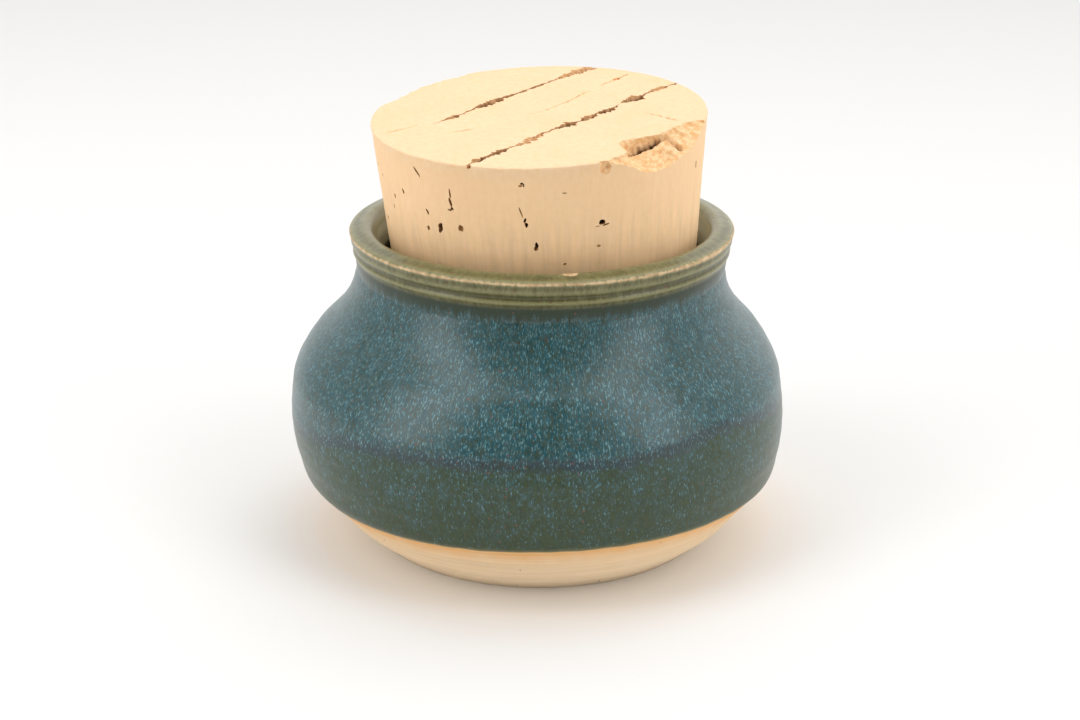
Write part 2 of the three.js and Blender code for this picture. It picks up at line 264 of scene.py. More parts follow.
# %% [markdown]
# ## The jar's mesh
#
# The outline is turned round the axis into a grid of rings. Then the hand shows: the belly leans,
# the wall swells and thins by a tenth of a millimetre, throwing lines run round it, and the glaze
# lies a little thicker here and there. All of that moves the points, so it is in the mesh and not
# only in the material. Each point also keeps a few facts for the materials, such as where it lies
# along the run of the glaze.

# %% Turn the outline into a mesh
AROUND = 352
FLOW_RADIUS = 45
EDGE_RAGGED = 0.18
EDGE_NOTCH = 3.0


def wander(a, z, size, seed):
    """Smooth unevenness between -1 and 1 over the turned surface, about size mm across."""
    x, y = np.cos(a) * FLOW_RADIUS / size, np.sin(a) * FLOW_RADIUS / size
    points = np.stack([x.ravel(), y.ravel(), (z / size).ravel() + seed * 17.3], 1)
    return np.array([noise.noise(p) for p in points]).reshape(a.shape)


def jar_grid():
    """Positions in mm of every ring's points, and the facts that go with them."""
    rings = len(RING_PART)
    around = np.linspace(-math.pi, math.pi, AROUND, endpoint=False)[None, :].repeat(rings, 0)
    r = RING_R[:, None].repeat(AROUND, 1)
    z = RING_Z[:, None].repeat(AROUND, 1)
    outer = np.isin(RING_PART, ["clay", "glaze"])[:, None]
    line = GLAZE_LINE - glaze_run(around)
    reach = np.where(z < GLAZE_LINE, GLAZE_LINE - FOOT_BEVEL, GLAZE_FOLLOW)
    near = np.clip(1 - np.abs(z - GLAZE_LINE) / reach, 0, 1)
    near = near * near * (3 - 2 * near)
    ragged = EDGE_RAGGED * wander(around, np.full_like(z, 3), EDGE_NOTCH, 1) * near**8
    lower = np.where(outer, z - glaze_run(around) * near + ragged, z)
    r = np.where(outer, r + wall_radius(lower) - wall_radius(z), r)
    length = np.concatenate([[0], np.cumsum(np.hypot(np.diff(RING_R), np.diff(RING_Z)))])
    return around, r, lower, line, length[:, None].repeat(AROUND, 1)


AROUND_ANGLE, JAR_R, JAR_Z, LINE_Z, JAR_LENGTH = jar_grid()
print("grid", JAR_R.shape, "glaze line between", LINE_Z.min().round(1), "and", LINE_Z.max().round(1), "mm")

# %% [markdown]
# The hand of the potter is five kinds of unevenness: the wall swells slowly, throwing lines rise
# with a pitch of 2.6 mm, the trimmed clay has finer lines, the glaze has the skin of an orange,
# and the collar varies where the tool pressed. Each is added as a depth below the true surface,
# because a jar that only ever loses clay can't grow past its real size.

# %% Relief of the thrown and glazed surface
SWELL = 0.05
THROWN = 0.02
THROWN_PITCH = 2.6
TRIMMED = 0.03
ORANGE_PEEL = 0.012
PRESSED = 0.06


def jar_relief(around, z):
    """How far each point lies inside the true surface, in mm."""
    part = np.array(RING_PART)[:, None]
    swell = SWELL * (1 + wander(around, z, 22, 2))
    thrown = THROWN * (1 + np.sin(z * 2 * np.pi / THROWN_PITCH + 1.5 * wander(around, z, 30, 3)))
    trimmed = TRIMMED * (1 + wander(around * 0.04, z * 14, 8, 4))
    orange_peel = ORANGE_PEEL * (1 + wander(around, z, 1.6, 5))
    pressed = PRESSED * (1 + wander(around, z * 3, 9, 6))
    relief = np.where(np.isin(part, ["glaze", "clay"]), swell + thrown, 0)
    relief = relief + np.where(part == "clay", trimmed, 0)
    relief = relief + np.where(np.isin(part, ["glaze", "rim"]), orange_peel, 0)
    return relief + np.where(part == "rim", pressed, 0)


def ring_normals():
    """Outward direction of each ring in the (radius, height) plane."""
    dr, dz = np.gradient(RING_R), np.gradient(RING_Z)
    size = np.maximum(np.hypot(dr, dz), 1e-9)
    return dz / size, -dr / size


SHARPEST_RIDGE = 0.9


def ring_ridge():
    """How much each ring of the rim stands proud of its neighbours, from -1 in a groove to 1."""
    normal_r, normal_z = ring_normals()
    turn = np.gradient(np.unwrap(np.arctan2(normal_z, normal_r)))
    bend = turn / np.maximum(np.gradient(JAR_LENGTH[:, 0]), 1e-6)
    window = np.hanning(7)
    bend = np.convolve(bend, window / window.sum(), "same")
    return np.clip(bend / SHARPEST_RIDGE, -1, 1)


print("rim bends from", round(float(ring_ridge().min()), 2), "to", round(float(ring_ridge().max()), 2))

# %% [markdown]
# The points and faces now become a mesh. It could be spun with the Screw modifier, but a list of
# points can also carry the hand's unevenness, and the lean: as thrown, the belly sits 0.6 mm to
# the left and the rim 0.3 mm to the right of the foot's axis.

# %% Build the jar object
def new_object(name, vertices, faces):
    """A mesh object from points in metres, linked into the scene."""
    mesh = bpy.data.meshes.new(name)
    mesh.from_pydata(vertices.tolist(), [], faces)
    mesh.validate()
    made = bpy.data.objects.new(name, mesh)
    bpy.context.scene.collection.objects.link(made)
    return made


def keep_fact(made, name, values, kind="FLOAT"):
    """Stores one number or vector for each point, for the materials to read."""
    field = made.data.attributes.new(name, kind, "POINT")
    key = "vector" if kind == "FLOAT_VECTOR" else "value"
    field.data.foreach_set(key, np.ascontiguousarray(values, dtype=np.float32).ravel())


def lean(z):
    """How far the jar's middle lies to the right of the foot's axis at a height."""
    up = np.clip(z / WAIST_HEIGHT, 0, 1) ** BELLY_LEAN_RISE
    rim = np.clip((z - WAIST_HEIGHT + RIM_LEAN_REACH) / (2 * RIM_LEAN_REACH), 0, 1)
    return RIM_LEAN * rim * rim * (3 - 2 * rim) - BELLY_LEAN * np.sin(np.pi * up) ** 2


def jar_positions():
    """Where every point lies in mm, in the CAD model's frame."""
    normal_r, normal_z = ring_normals()
    relief = jar_relief(AROUND_ANGLE, JAR_Z)
    r = JAR_R - relief * normal_r[:, None]
    z = np.maximum(JAR_Z - relief * normal_z[:, None] * (np.array(RING_PART)[:, None] != "base"), 0)
    return np.stack([r * np.sin(AROUND_ANGLE) + lean(z), -r * np.cos(AROUND_ANGLE), z], 2)


def tube_faces(rows, around):
    """Faces of a tube whose points are listed row by row, with a flat cap at each end."""
    faces = []
    for i in range(rows - 1):
        for k in range(around):
            n = (k + 1) % around
            faces.append((i * around + k, i * around + n, (i + 1) * around + n, (i + 1) * around + k))
    faces.append(tuple(range(around))[::-1])
    faces.append(tuple((rows - 1) * around + k for k in range(around)))
    return faces


jar = new_object("stoneware_jar", jar_positions().reshape(-1, 3) * MM, tube_faces(len(RING_PART), AROUND))
for face in jar.data.polygons:
    face.use_smooth = True
print("jar has", len(jar.data.polygons), "faces")

# %% [markdown]
# Each point now keeps what the materials need to know: its place along the run of the glaze, how
# far it is above the two glaze edges, how proud it stands on the rim, and where the throat, the
# lip, the line inside the lip and the chip are. Painting such masks by hand is the usual way, but
# here the outline knows them to a tenth of a millimetre.

# %% Facts for the glaze
THROAT_EDGE = 57.3
THROAT_FADE = 1.0
THROAT_TURN = RIM_RADIUS - 3.7
LIP_HEIGHT = RIM_HEIGHT - 1.1
LIP_WIDTH = 0.34
LIP_WIDER = 0.2
LIP_WIDE_SIDE = 60
LIP_WIDE_SPREAD = 25
LIP_FACE = RIM_RADIUS - 0.8
INNER_LINE = RIM_RADIUS - 4.3
INNER_WIDTH = 0.3
CHIP_ANGLE = 8.6
CHIP_SPREAD = 2.1
CHIP_RADIUS = 31.7
CHIP_WIDTH = 0.85
CHIP_REACH = 1.6
TOP_FACE = RIM_HEIGHT - 1.5

flow = np.stack([np.cos(AROUND_ANGLE) * FLOW_RADIUS, np.sin(AROUND_ANGLE) * FLOW_RADIUS, JAR_LENGTH], 2)
keep_fact(jar, "flow", flow, "FLOAT_VECTOR")
keep_fact(jar, "over_line", JAR_Z - LINE_Z)
keep_fact(jar, "over_dip", JAR_Z - dip_height(AROUND_ANGLE))
is_rim = np.isin(RING_PART, ["rim"])
keep_fact(jar, "ridge", (ring_ridge() * is_rim)[:, None].repeat(AROUND, 1))
throat = np.clip((THROAT_EDGE - RING_Z) / THROAT_FADE, 0, 1) * (is_rim & (RING_R < THROAT_TURN))
throat[np.isin(RING_PART, ["inside", "floor"])] = 1
keep_fact(jar, "within", throat[:, None].repeat(AROUND, 1))
chip_around = (np.degrees(AROUND_ANGLE) - CHIP_ANGLE) / CHIP_SPREAD
chip_place = np.hypot(chip_around, (RING_R[:, None] - CHIP_RADIUS) / CHIP_WIDTH)
keep_fact(jar, "chip", np.clip(CHIP_REACH - chip_place, 0, 1) * (is_rim & (RING_Z > TOP_FACE))[:, None])
to_right = np.exp(-(((np.degrees(AROUND_ANGLE) - LIP_WIDE_SIDE) / LIP_WIDE_SPREAD) ** 2))
lip = np.exp(-(((JAR_Z - LIP_HEIGHT) / (LIP_WIDTH + LIP_WIDER * to_right)) ** 2))
keep_fact(jar, "lip", lip * (is_rim & (RING_R > LIP_FACE))[:, None])
inner = np.exp(-(((RING_R - INNER_LINE) / INNER_WIDTH) ** 2)) * (is_rim & (RING_Z > TOP_FACE + 0.1))
keep_fact(jar, "inner", inner[:, None].repeat(AROUND, 1))
print("facts", [field.name for field in jar.data.attributes if not field.name.startswith(".")])

# %% [markdown]
# ## The cork
#
# A jar cork is cut from bark and turned to a taper, then sanded. The bark's growth layers left
# two long cracks across the top, an edge has crumbled, and pores open in the side. A displaced
# grid would smear such steep walls, so the sound cork is a plain dense body and the damage is
# carved out of it with cutters that have rough faces of their own. What a cutter leaves gets a
# finish of its own, because torn cork is darker and duller than the sanded skin, and because its
# hollows carry painted shade.

# %% The sound cork
CORK_LENGTH = 32
CORK_TOP_RADIUS = 29.65
CORK_TAPER = 0.083
CORK_BEVEL = 0.3
CORK_TOP = Vector((-0.2, -1.75, 78.05))
CORK_LEAN = Euler((math.radians(4.05), math.radians(-2.2), 0))
CORK_AROUND = 288
CORK_RINGS = {"bottom": 10, "side": 46, "top": 34}
CORK_CENTRE = 2
WORN = 0.05
WORN_FINE = 0.03


def fuzz(x, y, z, size, seed=0.0):
    """Unevenness between -1 and 1 in space, about size mm across."""
    return noise.noise(Vector((x / size + seed, y / size - seed, z / size + 2 * seed)))


def cork_outline():
    """(radius, height) of the cork's rings, from the middle of its bottom to the middle of its top."""
    bottom = CORK_TOP_RADIUS - CORK_TAPER * CORK_LENGTH
    rings = [(r, -CORK_LENGTH) for r in np.linspace(CORK_CENTRE, bottom - CORK_BEVEL, CORK_RINGS["bottom"])]
    side = np.linspace(CORK_BEVEL - CORK_LENGTH, -CORK_BEVEL, CORK_RINGS["side"])
    rings += [(CORK_TOP_RADIUS + CORK_TAPER * z, z) for z in side]
    rings += [(CORK_TOP_RADIUS - 0.1, -0.08), (CORK_TOP_RADIUS - CORK_BEVEL, 0)]
    rings += [(r, 0) for r in np.linspace(CORK_TOP_RADIUS - 1, CORK_CENTRE, CORK_RINGS["top"])]
    return rings


def cork_body():
    """The whole cork before it is damaged, worn by a tenth of a millimetre."""
    rings = cork_outline()
    vertices = []
    for r, z in rings:
        for k in range(CORK_AROUND):
            a = 2 * math.pi * k / CORK_AROUND
            x, y = r * math.cos(a), r * math.sin(a)
            worn = WORN * (1 + fuzz(x, y, z, 3.0, 4.1)) + WORN_FINE * (1 + fuzz(x, y, z, 0.9, 7.7))
            if z < -CORK_BEVEL:
                scale = 1 - worn / max(r, 1)
                vertices.append((x * scale, y * scale, z))
            else:
                vertices.append((x, y, z - worn))
    return new_object("jar_cork", np.array(vertices), tube_faces(len(rings), CORK_AROUND))


cork = cork_body()
print("cork body has", len(cork.data.polygons), "faces")

# %% [markdown]
# Each crack is cut by a long wedge. Its stations follow the growth layer across the top, and give
# its width and depth, so it opens into craters and closes to a hairline between them. Noise tears
# both lips and both walls. A crack could be painted dark all over, but a real gap catches the light
# on its far wall and is dark in its depth, where its colour is also painted darker as painted shade.

# %% Courses of the cracks
# Each station is x, y in the top face, the crack's width and its depth, in mm.
LEFT_CRACK = [
    (-18.6, -4.2, 0.2, 0.3), (-16.6, -1.9, 0.5, 0.6), (-15.6, -0.8, 1.0, 1.3), (-14.6, 0.1, 0.9, 1.3),
    (-13.7, 1.2, 0.4, 0.8), (-12.0, 3.5, 0.5, 1.1), (-10.8, 5.0, 1.0, 1.7), (-9.4, 6.5, 1.9, 2.2),
    (-7.8, 8.3, 2.1, 2.2), (-6.4, 9.9, 1.3, 2.0), (-4.9, 11.5, 0.8, 1.9), (-3.1, 13.4, 0.65, 1.8),
    (-0.6, 16.0, 0.6, 1.6), (2.3, 19.4, 0.6, 1.3), (3.4, 20.6, 0.5, 0.8), (4.8, 22.3, 1.3, 0.6),
    (7.2, 24.6, 2.3, 0.6), (9.2, 26.6, 2.4, 0.6), (10.8, 28.4, 2.0, 0.5),
]
RIGHT_CRACK = [
    (-12.8, -28.4, 1.0, 0.35), (-12.1, -27.4, 1.1, 0.6), (-10.9, -25.7, 0.5, 1.0), (-9.9, -24.2, 1.6, 2.2),
    (-9.0, -23.1, 1.9, 2.6), (-8.0, -22.2, 0.6, 1.6), (-7.0, -21.0, 1.7, 2.0), (-6.0, -19.8, 1.4, 2.0),
    (-5.0, -18.8, 0.35, 1.2), (-3.8, -17.6, 0.5, 0.5), (-2.6, -16.2, 1.7, 0.5), (-1.2, -14.2, 2.1, 0.5),
    (0.2, -12.2, 0.9, 0.6), (1.6, -10.4, 0.4, 1.0), (2.8, -9.2, 0.8, 1.2), (3.9, -8.2, 2.3, 2.2),
    (5.2, -7.2, 2.5, 2.7), (6.2, -6.2, 1.2, 1.7), (7.2, -5.2, 1.1, 1.5), (8.6, -3.6, 1.5, 1.7),
    (10.0, -1.9, 1.0, 1.9), (11.6, -0.2, 1.6, 2.4), (13.0, 1.0, 1.5, 2.7), (13.8, 2.6, 0.25, 1.0),
    (14.7, 4.1, 0.25, 0.8), (15.6, 5.2, 1.9, 2.0), (16.8, 6.2, 2.5, 2.5), (18.2, 7.6, 2.0, 2.3),
    (19.2, 9.0, 0.4, 1.2), (20.3, 10.6, 1.3, 0.5), (21.8, 12.0, 1.5, 0.6), (23.4, 13.4, 0.6, 1.0),
    (26.8, 16.2, 0.7, 1.2),
]
FINE_CRACKS = [
    [(-27.4, -8.9, 0.3, 0.25), (-24.4, -6.6, 0.35, 0.35), (-20.8, -4.0, 0.25, 0.3)],
    [(-15.6, -9.3, 0.2, 0.2), (-12.8, -8.2, 0.4, 0.4), (-10.6, -7.2, 0.2, 0.2)],
    [
        (-2.4, -0.4, 0.2, 0.15), (0.6, 0.9, 0.3, 0.2), (3.2, 4.0, 0.4, 0.25), (5.6, 7.0, 0.4, 0.25),
        (7.4, 10.0, 0.6, 0.25), (9.6, 13.2, 0.6, 0.2),
    ],
    [
        (11.2, 15.0, 0.4, 0.15), (13.2, 18.0, 0.7, 0.3), (14.9, 20.0, 1.2, 0.6), (16.2, 21.4, 0.8, 0.4),
        (17.0, 22.4, 0.2, 0.2),
    ],
    [(18.0, -1.4, 0.2, 0.2), (21.1, -4.2, 0.4, 0.4), (22.8, -6.0, 0.35, 0.4), (24.4, -8.2, 0.15, 0.2)],
]
print("stations", len(LEFT_CRACK), "and", len(RIGHT_CRACK), "in the long cracks")

# %% Cutters for the cracks
CRACK_STEP = 0.13
CRACK_PROUD = 0.6
CRACK_TORN = 0.42
CRACK_WANDER = 0.22
# The section's points, from the near lip down to the bottom and up the far wall: how far across,
# as a part of half the width, and how far down, as a part of the depth. The near wall is steep and
# the far one slopes, so the light falls on the far wall.
CRACK_SECTION = [
    (1.3, None), (1, 0), (0.97, -0.4), (0.85, -0.8), (0.55, -1), (0.2, -0.95), (-0.15, -0.75),
    (-0.4, -0.55), (-0.65, -0.35), (-0.85, -0.15), (-1, 0), (-1.3, None),
]


def crack_cutter(stations, seed):
    """A wedge along the stations whose two walls are torn unevenly."""
    line = np.array(stations, float)
    length = np.concatenate([[0], np.cumsum(np.hypot(*np.diff(line[:, :2], axis=0).T))])
    steps = max(4, round(length[-1] / CRACK_STEP))
    at = np.linspace(0, length[-1], steps + 1)
    x, y, width, depth = [np.interp(at, length, line[:, k]) for k in range(4)]
    tx, ty = np.gradient(x), np.gradient(y)
    size = np.hypot(tx, ty)
    ax, ay = ty / size, -tx / size
    vertices = []
    for i in range(steps + 1):
        taper = min(1, 0.2 + 0.5 * min(i, steps - i) * CRACK_STEP)
        jag = min(1, width[i] / 1.2)
        uneven = 0.9 * fuzz(x[i], y[i], 0, 1.5, seed + 7) + 0.7 * fuzz(x[i], y[i], 0, 0.5, seed + 8)
        opening = taper * min(1.6, max(0.25, 1 + uneven))
        sunk = taper * (1 + 0.6 * fuzz(x[i], y[i], 4, 1.2, seed + 9))
        aside = CRACK_WANDER * (fuzz(x[i], y[i], 2, 1.0, seed + 11) + 0.5 * fuzz(x[i], y[i], 2, 0.4, seed))
        for side, down in CRACK_SECTION:
            lip = down is None or down == 0
            z = CRACK_PROUD if down is None else down * depth[i] * sunk
            wide = fuzz(x[i], y[i], side, 1.1, seed) + 0.8 * fuzz(x[i], y[i], side, 0.45, seed + 3)
            wide += 0.5 * fuzz(x[i], y[i], side, 0.2, seed + 4)
            torn = CRACK_TORN * jag * wide * (1 if lip else 0.8)
            rough = CRACK_TORN * jag * fuzz(x[i], y[i] + side, z, 0.4, seed + 5) * (0 if lip else 1.0)
            half = side * width[i] / 2 * opening + torn + aside
            vertices.append((x[i] + ax[i] * half, y[i] + ay[i] * half, z + rough))
    return new_object("cutter", np.array(vertices), tube_faces(steps + 1, len(CRACK_SECTION)))


cracks = [crack_cutter(LEFT_CRACK, 1.3), crack_cutter(RIGHT_CRACK, 5.9)]
fine_cracks = [crack_cutter(line, 11.1 + i) for i, line in enumerate(FINE_CRACKS)]
print(len(cracks), "long cracks and", len(fine_cracks), "fine ones")

# %% [markdown]
# The edge that crumbled away is a hollow with a rough floor. It starts at a small step, where a
# flake broke off, and falls to the side. A narrow slit runs along the foot of the step, and one
# loose flap still stands in it. A sphere would scoop too round a hollow, so the cutter is built
# over a floor whose height is worked out point by point.

# %% Cutters for the broken edges
# Each station is the angle from the front in degrees, how far in the break starts, the step down
# there and how far down the side it comes out.
FRONT_BREAK = [
    (22.5, 0.5, 0.1, 0.5), (26, 1.0, 0.25, 1.6), (30, 1.6, 0.5, 2.5), (32.5, 2.6, 0.8, 3.0),
    (34, 5.6, 1.1, 3.3), (36, 7.2, 1.4, 3.8), (40, 7.8, 1.6, 4.3), (44, 7.1, 1.6, 4.5),
    (48, 6.2, 1.4, 4.4), (55.5, 4.6, 1.0, 3.7), (61.5, 4.7, 0.4, 3.4), (66, 4.1, 0.1, 2.6),
    (71, 3.6, 0.05, 1.5), (75, 1.2, 0.05, 0.5),
]
BACK_BREAK = [
    (-153, 0.4, 0.2, 0.5), (-149, 1.3, 0.35, 0.9), (-142, 1.1, 0.3, 0.8), (-132, 1.3, 0.4, 1.0),
    (-121, 1.8, 0.4, 1.4), (-112, 1.5, 0.3, 1.0), (-106, 0.4, 0.2, 0.5),
]
SLIT = [(15.0, -18.0), (17.0, -16.6), (19.5, -15.0), (21.8, -13.9), (22.9, -14.4), (23.7, -15.0)]
SLIT_DEPTH = 2.6
SLIT_WIDTH = 0.36
FLAP = (21.4, -16.0)
FLAP_HEIGHT = 0.8
FLAP_SIZE = 1.4
FLAP_GAP = 0.4
WALL_SHARE = 0.16
BREAK_ROUGH = 0.3
BREAK_RAGGED = 0.5
BREAK_STEP = 0.4
BREAK_ACROSS = 56


def away_from(line, x, y):
    """Distance in mm from a point, or from each of many, to a line of points."""
    best = np.full(np.shape(x), 99.0)
    for (x0, y0), (x1, y1) in zip(line, line[1:]):
        along = ((x - x0) * (x1 - x0) + (y - y0) * (y1 - y0)) / ((x1 - x0) ** 2 + (y1 - y0) ** 2)
        along = np.clip(along, 0, 1)
        best = np.minimum(best, np.hypot(x - x0 - along * (x1 - x0), y - y0 - along * (y1 - y0)))
    return best


def break_floor(x, y, f, step, out, seed, slit):
    """Height of the rough floor, where f is 0 at the inner edge of the break and 1 at the side."""
    wall = min(1, f / WALL_SHARE)
    floor = -step * wall * wall * (3 - 2 * wall) - (out - step) * f
    flakes = abs(fuzz(x, y, 0, 1.6, seed)) + 0.6 * abs(fuzz(x, y, 0, 0.75, seed + 2))
    flakes += 0.35 * fuzz(x, y, 0, 0.35, seed + 4)
    floor -= BREAK_ROUGH * flakes * min(1, 0.3 + 4 * f)
    if slit:
        near = away_from(SLIT, x, y)
        floor -= SLIT_DEPTH * math.exp(-((near / SLIT_WIDTH) ** 2))
        lift = math.hypot(x - FLAP[0], y - FLAP[1]) / FLAP_SIZE
        floor += FLAP_HEIGHT * math.exp(-(lift**4)) * min(1, near / FLAP_GAP)
    return min(floor, -0.03)


def break_cutter(stations, seed, slit):
    """What crumbled away: all that lies over a rough floor between the inner step and the side."""
    table = np.array(stations, float)
    degrees = np.arange(table[0, 0], table[-1, 0] + 0.01, BREAK_STEP)
    inward, step, down = [np.interp(degrees, table[:, 0], table[:, k]) for k in (1, 2, 3)]
    across = np.linspace(0, 1, BREAK_ACROSS)
    vertices = []
    for angle, reach, drop, out in zip(degrees, inward, step, down):
        a = math.radians(angle)
        ragged = fuzz(angle / 2, 0, 0, 1, seed) + 0.5 * fuzz(angle, 0, 0, 1, seed)
        inner = CORK_TOP_RADIUS - reach - BREAK_RAGGED * min(1, reach) * ragged
        outer = CORK_TOP_RADIUS + 1
        for f in across:
            r = inner + (outer - inner) * f
            x, y = r * math.sin(a), -r * math.cos(a)
            vertices.append((x, y, break_floor(x, y, f, drop, out, seed, slit)))
        for r in (outer, inner):
            vertices.append((r * math.sin(a), -r * math.cos(a), CRACK_PROUD))
    # Its rows run the other way round than a crack's, so every face is turned over.
    faces = [(face[0], *face[:0:-1]) for face in tube_faces(len(degrees), BREAK_ACROSS + 2)]
    return new_object("cutter", np.array(vertices), faces)


breaks = [break_cutter(FRONT_BREAK, 2.2, True), break_cutter(BACK_BREAK, 6.4, False)]
print(len(breaks), "broken edges")

# %% [markdown]
# Pores are the ends of the tubes through which the bark breathed. They open in the side as pits
# and short slots that slant with the layers. Small spheres, pressed flat and made uneven, cut
# them. The ones that face the camera each have a real one's size, and those behind are spread in
# the same way.

# %% Places of the pores
# Each pore is its angle from the front in degrees, distance below the top, width, height and
# depth in mm, and its slant in degrees.
PORES = [
    (-36.6, 12.2, 1.0, 1.5, 2.8, 8), (-36.9, 12.7, 0.7, 1.3, 1.2, 25), (-31.1, 5.6, 0.32, 1.9, 0.6, -4),
    (-31.3, 7.2, 0.5, 1.8, 1.2, -12), (-30.9, 8.3, 0.6, 0.6, 1.9, 0), (-31.9, 8.6, 0.9, 0.3, 0.7, 20),
    (-28.2, 11.7, 1.05, 1.25, 0.6, 0), (-44.6, 2.9, 0.42, 2.3, 1.2, -38), (-54.0, 7.6, 0.5, 1.0, 1.3, -25),
    (-60.6, 9.4, 0.4, 0.9, 0.9, -10), (-62.9, 11.6, 0.3, 0.9, 0.6, -5), (-41.8, 9.9, 0.45, 1.2, 1.4, -25),
    (-42.3, 12.9, 0.7, 0.8, 0.5, 0), (-72.9, 15.4, 0.5, 0.8, 0.7, 0), (-77.1, 6.1, 0.4, 0.8, 0.6, 0),
    (-71.0, 7.2, 0.3, 0.6, 0.5, 0), (-6.6, 8.0, 0.24, 2.2, 0.4, -16), (-5.4, 9.4, 0.4, 1.0, 1.0, 12),
    (-5.0, 10.3, 0.6, 0.9, 1.6, 0), (-5.9, 2.8, 0.5, 0.35, 0.9, -10), (-5.3, 3.1, 0.3, 0.7, 0.8, -10),
    (-6.3, 3.2, 0.7, 0.5, 0.25, 0), (-1.9, 14.0, 0.6, 1.1, 1.8, -8), (-2.2, 14.6, 0.8, 0.9, 0.7, 0),
    (20.6, 10.9, 1.1, 0.9, 2.2, 0), (21.8, 11.4, 1.3, 0.28, 1.2, -14), (19.0, 11.5, 0.7, 0.16, 0.4, 0),
    (7.8, 4.8, 0.8, 0.2, 0.4, 0), (7.4, 17.7, 0.6, 0.35, 0.8, 0), (67.3, 6.7, 0.45, 1.5, 1.0, -6),
    (19.2, 15.1, 0.8, 0.6, 0.2, 0),
    (118, 10.5, 1.3, 1.5, 1.8, 15), (132, 4.6, 0.4, 2.1, 1.2, -10), (147, 6.2, 0.8, 1.8, 1.4, 5),
    (158, 12.6, 0.6, 1.0, 1.2, 0), (171, 13.8, 1.2, 1.2, 1.5, 10), (-166, 8.3, 0.9, 1.4, 1.4, 0),
    (-151, 11.9, 0.5, 0.9, 1.1, 30), (-128, 12.0, 1.4, 1.2, 1.8, 0), (-112, 4.8, 0.5, 1.8, 1.2, 12),
    (-99, 7.1, 0.8, 1.5, 1.3, 0), (88, 9.4, 0.6, 1.2, 1.2, -15), (101, 15.2, 0.5, 0.8, 1.0, 0),
]
print(len(PORES), "pores")

# %% Cutters for the pores
def pore_cutter(angle, below, width, height, depth, slant, seed):
    """An uneven pit that opens in the cork's side."""
    body = bmesh.new()
    bmesh.ops.create_icosphere(body, subdivisions=3, radius=1)
    a, tilt = math.radians(angle), math.radians(slant)
    outward = Vector((math.sin(a), -math.cos(a), 0))
    sideways = Vector((math.cos(a), math.sin(a), 0))
    centre = outward * (CORK_TOP_RADIUS - CORK_TAPER * below)
    for v in body.verts:
        x, y, z = v.co
        grow = 1 + 0.35 * fuzz(x, y, z, 0.8, seed) + 0.2 * fuzz(x, y, z, 0.35, seed)
        u, w = x * width / 2 * grow, y * height / 2 * grow
        u, w = u * math.cos(tilt) + w * math.sin(tilt), w * math.cos(tilt) - u * math.sin(tilt)
        sunk = z * depth * (grow if z < 0 else 0.5)
        v.co = centre + sideways * u + Vector((0, 0, w - below)) + outward * sunk
    mesh = bpy.data.meshes.new("cutter")
    body.to_mesh(mesh)
    body.free()
    made = bpy.data.objects.new("cutter", mesh)
    bpy.context.scene.collection.objects.link(made)
    return made


# A small notch beside the broken edge is cut in the same way.
NOTCH = (21.3, 1.1, 2.2, 2.9, 0.6, -20)
pores = [pore_cutter(*size, seed=0.7 * i) for i, size in enumerate(PORES)]
notch = pore_cutter(*NOTCH, seed=3.3)
print(len(pores), "pore cutters and", len(notch.data.polygons), "faces on the notch's")

# %% [markdown]
# The cutters now leave the cork one by one, as a Boolean difference. They could all be joined and
# cut at once, but one at a time keeps each cut simple, and every new face takes the finish of the
# cutter that made it: broken open, split along a layer, or full of bark dust.

# %% Carve the cork
SANDED, BROKEN, SPLIT, PORE = range(4)
sanded_cork = bpy.data.materials.new("natural cork, turned and sanded")
broken_cork = bpy.data.materials.new("natural cork, broken open")
split_cork = bpy.data.materials.new("natural cork, split along its growth layers")
pore_cork = bpy.data.materials.new("bark dust and painted shade in the cork's pores")
CORK_FINISHES = (sanded_cork, broken_cork, split_cork, pore_cork)


def only_active(made):
    """Selects one object alone, for the operators that work on the selection."""
    bpy.ops.object.select_all(action="DESELECT")
    made.select_set(True)
    bpy.context.view_layer.objects.active = made


def carve(body, cutter, finish):
    """Takes the cutter out of the body. The new faces keep the finish that is given."""
    for slot in CORK_FINISHES:
        cutter.data.materials.append(slot)
    for face in cutter.data.polygons:
        face.material_index = finish
    cut = body.modifiers.new("carve", "BOOLEAN")
    cut.operation = "DIFFERENCE"
    cut.object = cutter
    cut.solver = "MANIFOLD"
    only_active(body)
    bpy.ops.object.modifier_apply(modifier=cut.name)
    bpy.data.objects.remove(cutter)


for slot in CORK_FINISHES:
    cork.data.materials.append(slot)
for finish, group in ((BROKEN, breaks + fine_cracks + [notch]), (SPLIT, cracks), (PORE, pores)):
    for cutter in group:
        carve(cork, cutter, finish)
print("carved cork has", len(cork.data.polygons), "faces")

# %% [markdown]
# A few crumbs hang loose in the cracks, where one cut met another. The dust of a real cork is blown
# out before it is used. They could be hidden, but a loose speck would print as a stray shell.

# %% Blow out the loose crumbs
def drop_crumbs(made):
    """Deletes every shell of a mesh but the largest, and gives how many there were."""
    body = bmesh.new()
    body.from_mesh(made.data)
    unseen = set(body.verts)
    shells = []
    while unseen:
        shell = [unseen.pop()]
        for v in shell:
            for edge in v.link_edges:
                other = edge.other_vert(v)
                if other in unseen:
                    unseen.remove(other)
                    shell.append(other)
        shells.append(shell)
    shells.sort(key=len)
    loose = [v for shell in shells[:-1] for v in shell]
    bmesh.ops.delete(body, geom=loose, context="VERTS")
    body.to_mesh(made.data)
    body.free()
    return len(shells) - 1


print(drop_crumbs(cork), "crumbs blown out,", len(cork.data.polygons), "faces left")

# %% [markdown]
# The cork was made upright about its own axis, with its top face at height 0. Two facts are taken
# there, before it moves: how deep each point lies below the sanded skin, and how close to the slit
# in the break. The opened cork's colours use them for painted shade. Then the cork is tilted and
# pushed home, as it leans in the jar's throat.

# %% Seat the cork in the jar
SLIT_SHADE = 0.34
SLIT_TOP = 0.9
SMOOTH_ANGLE = 32

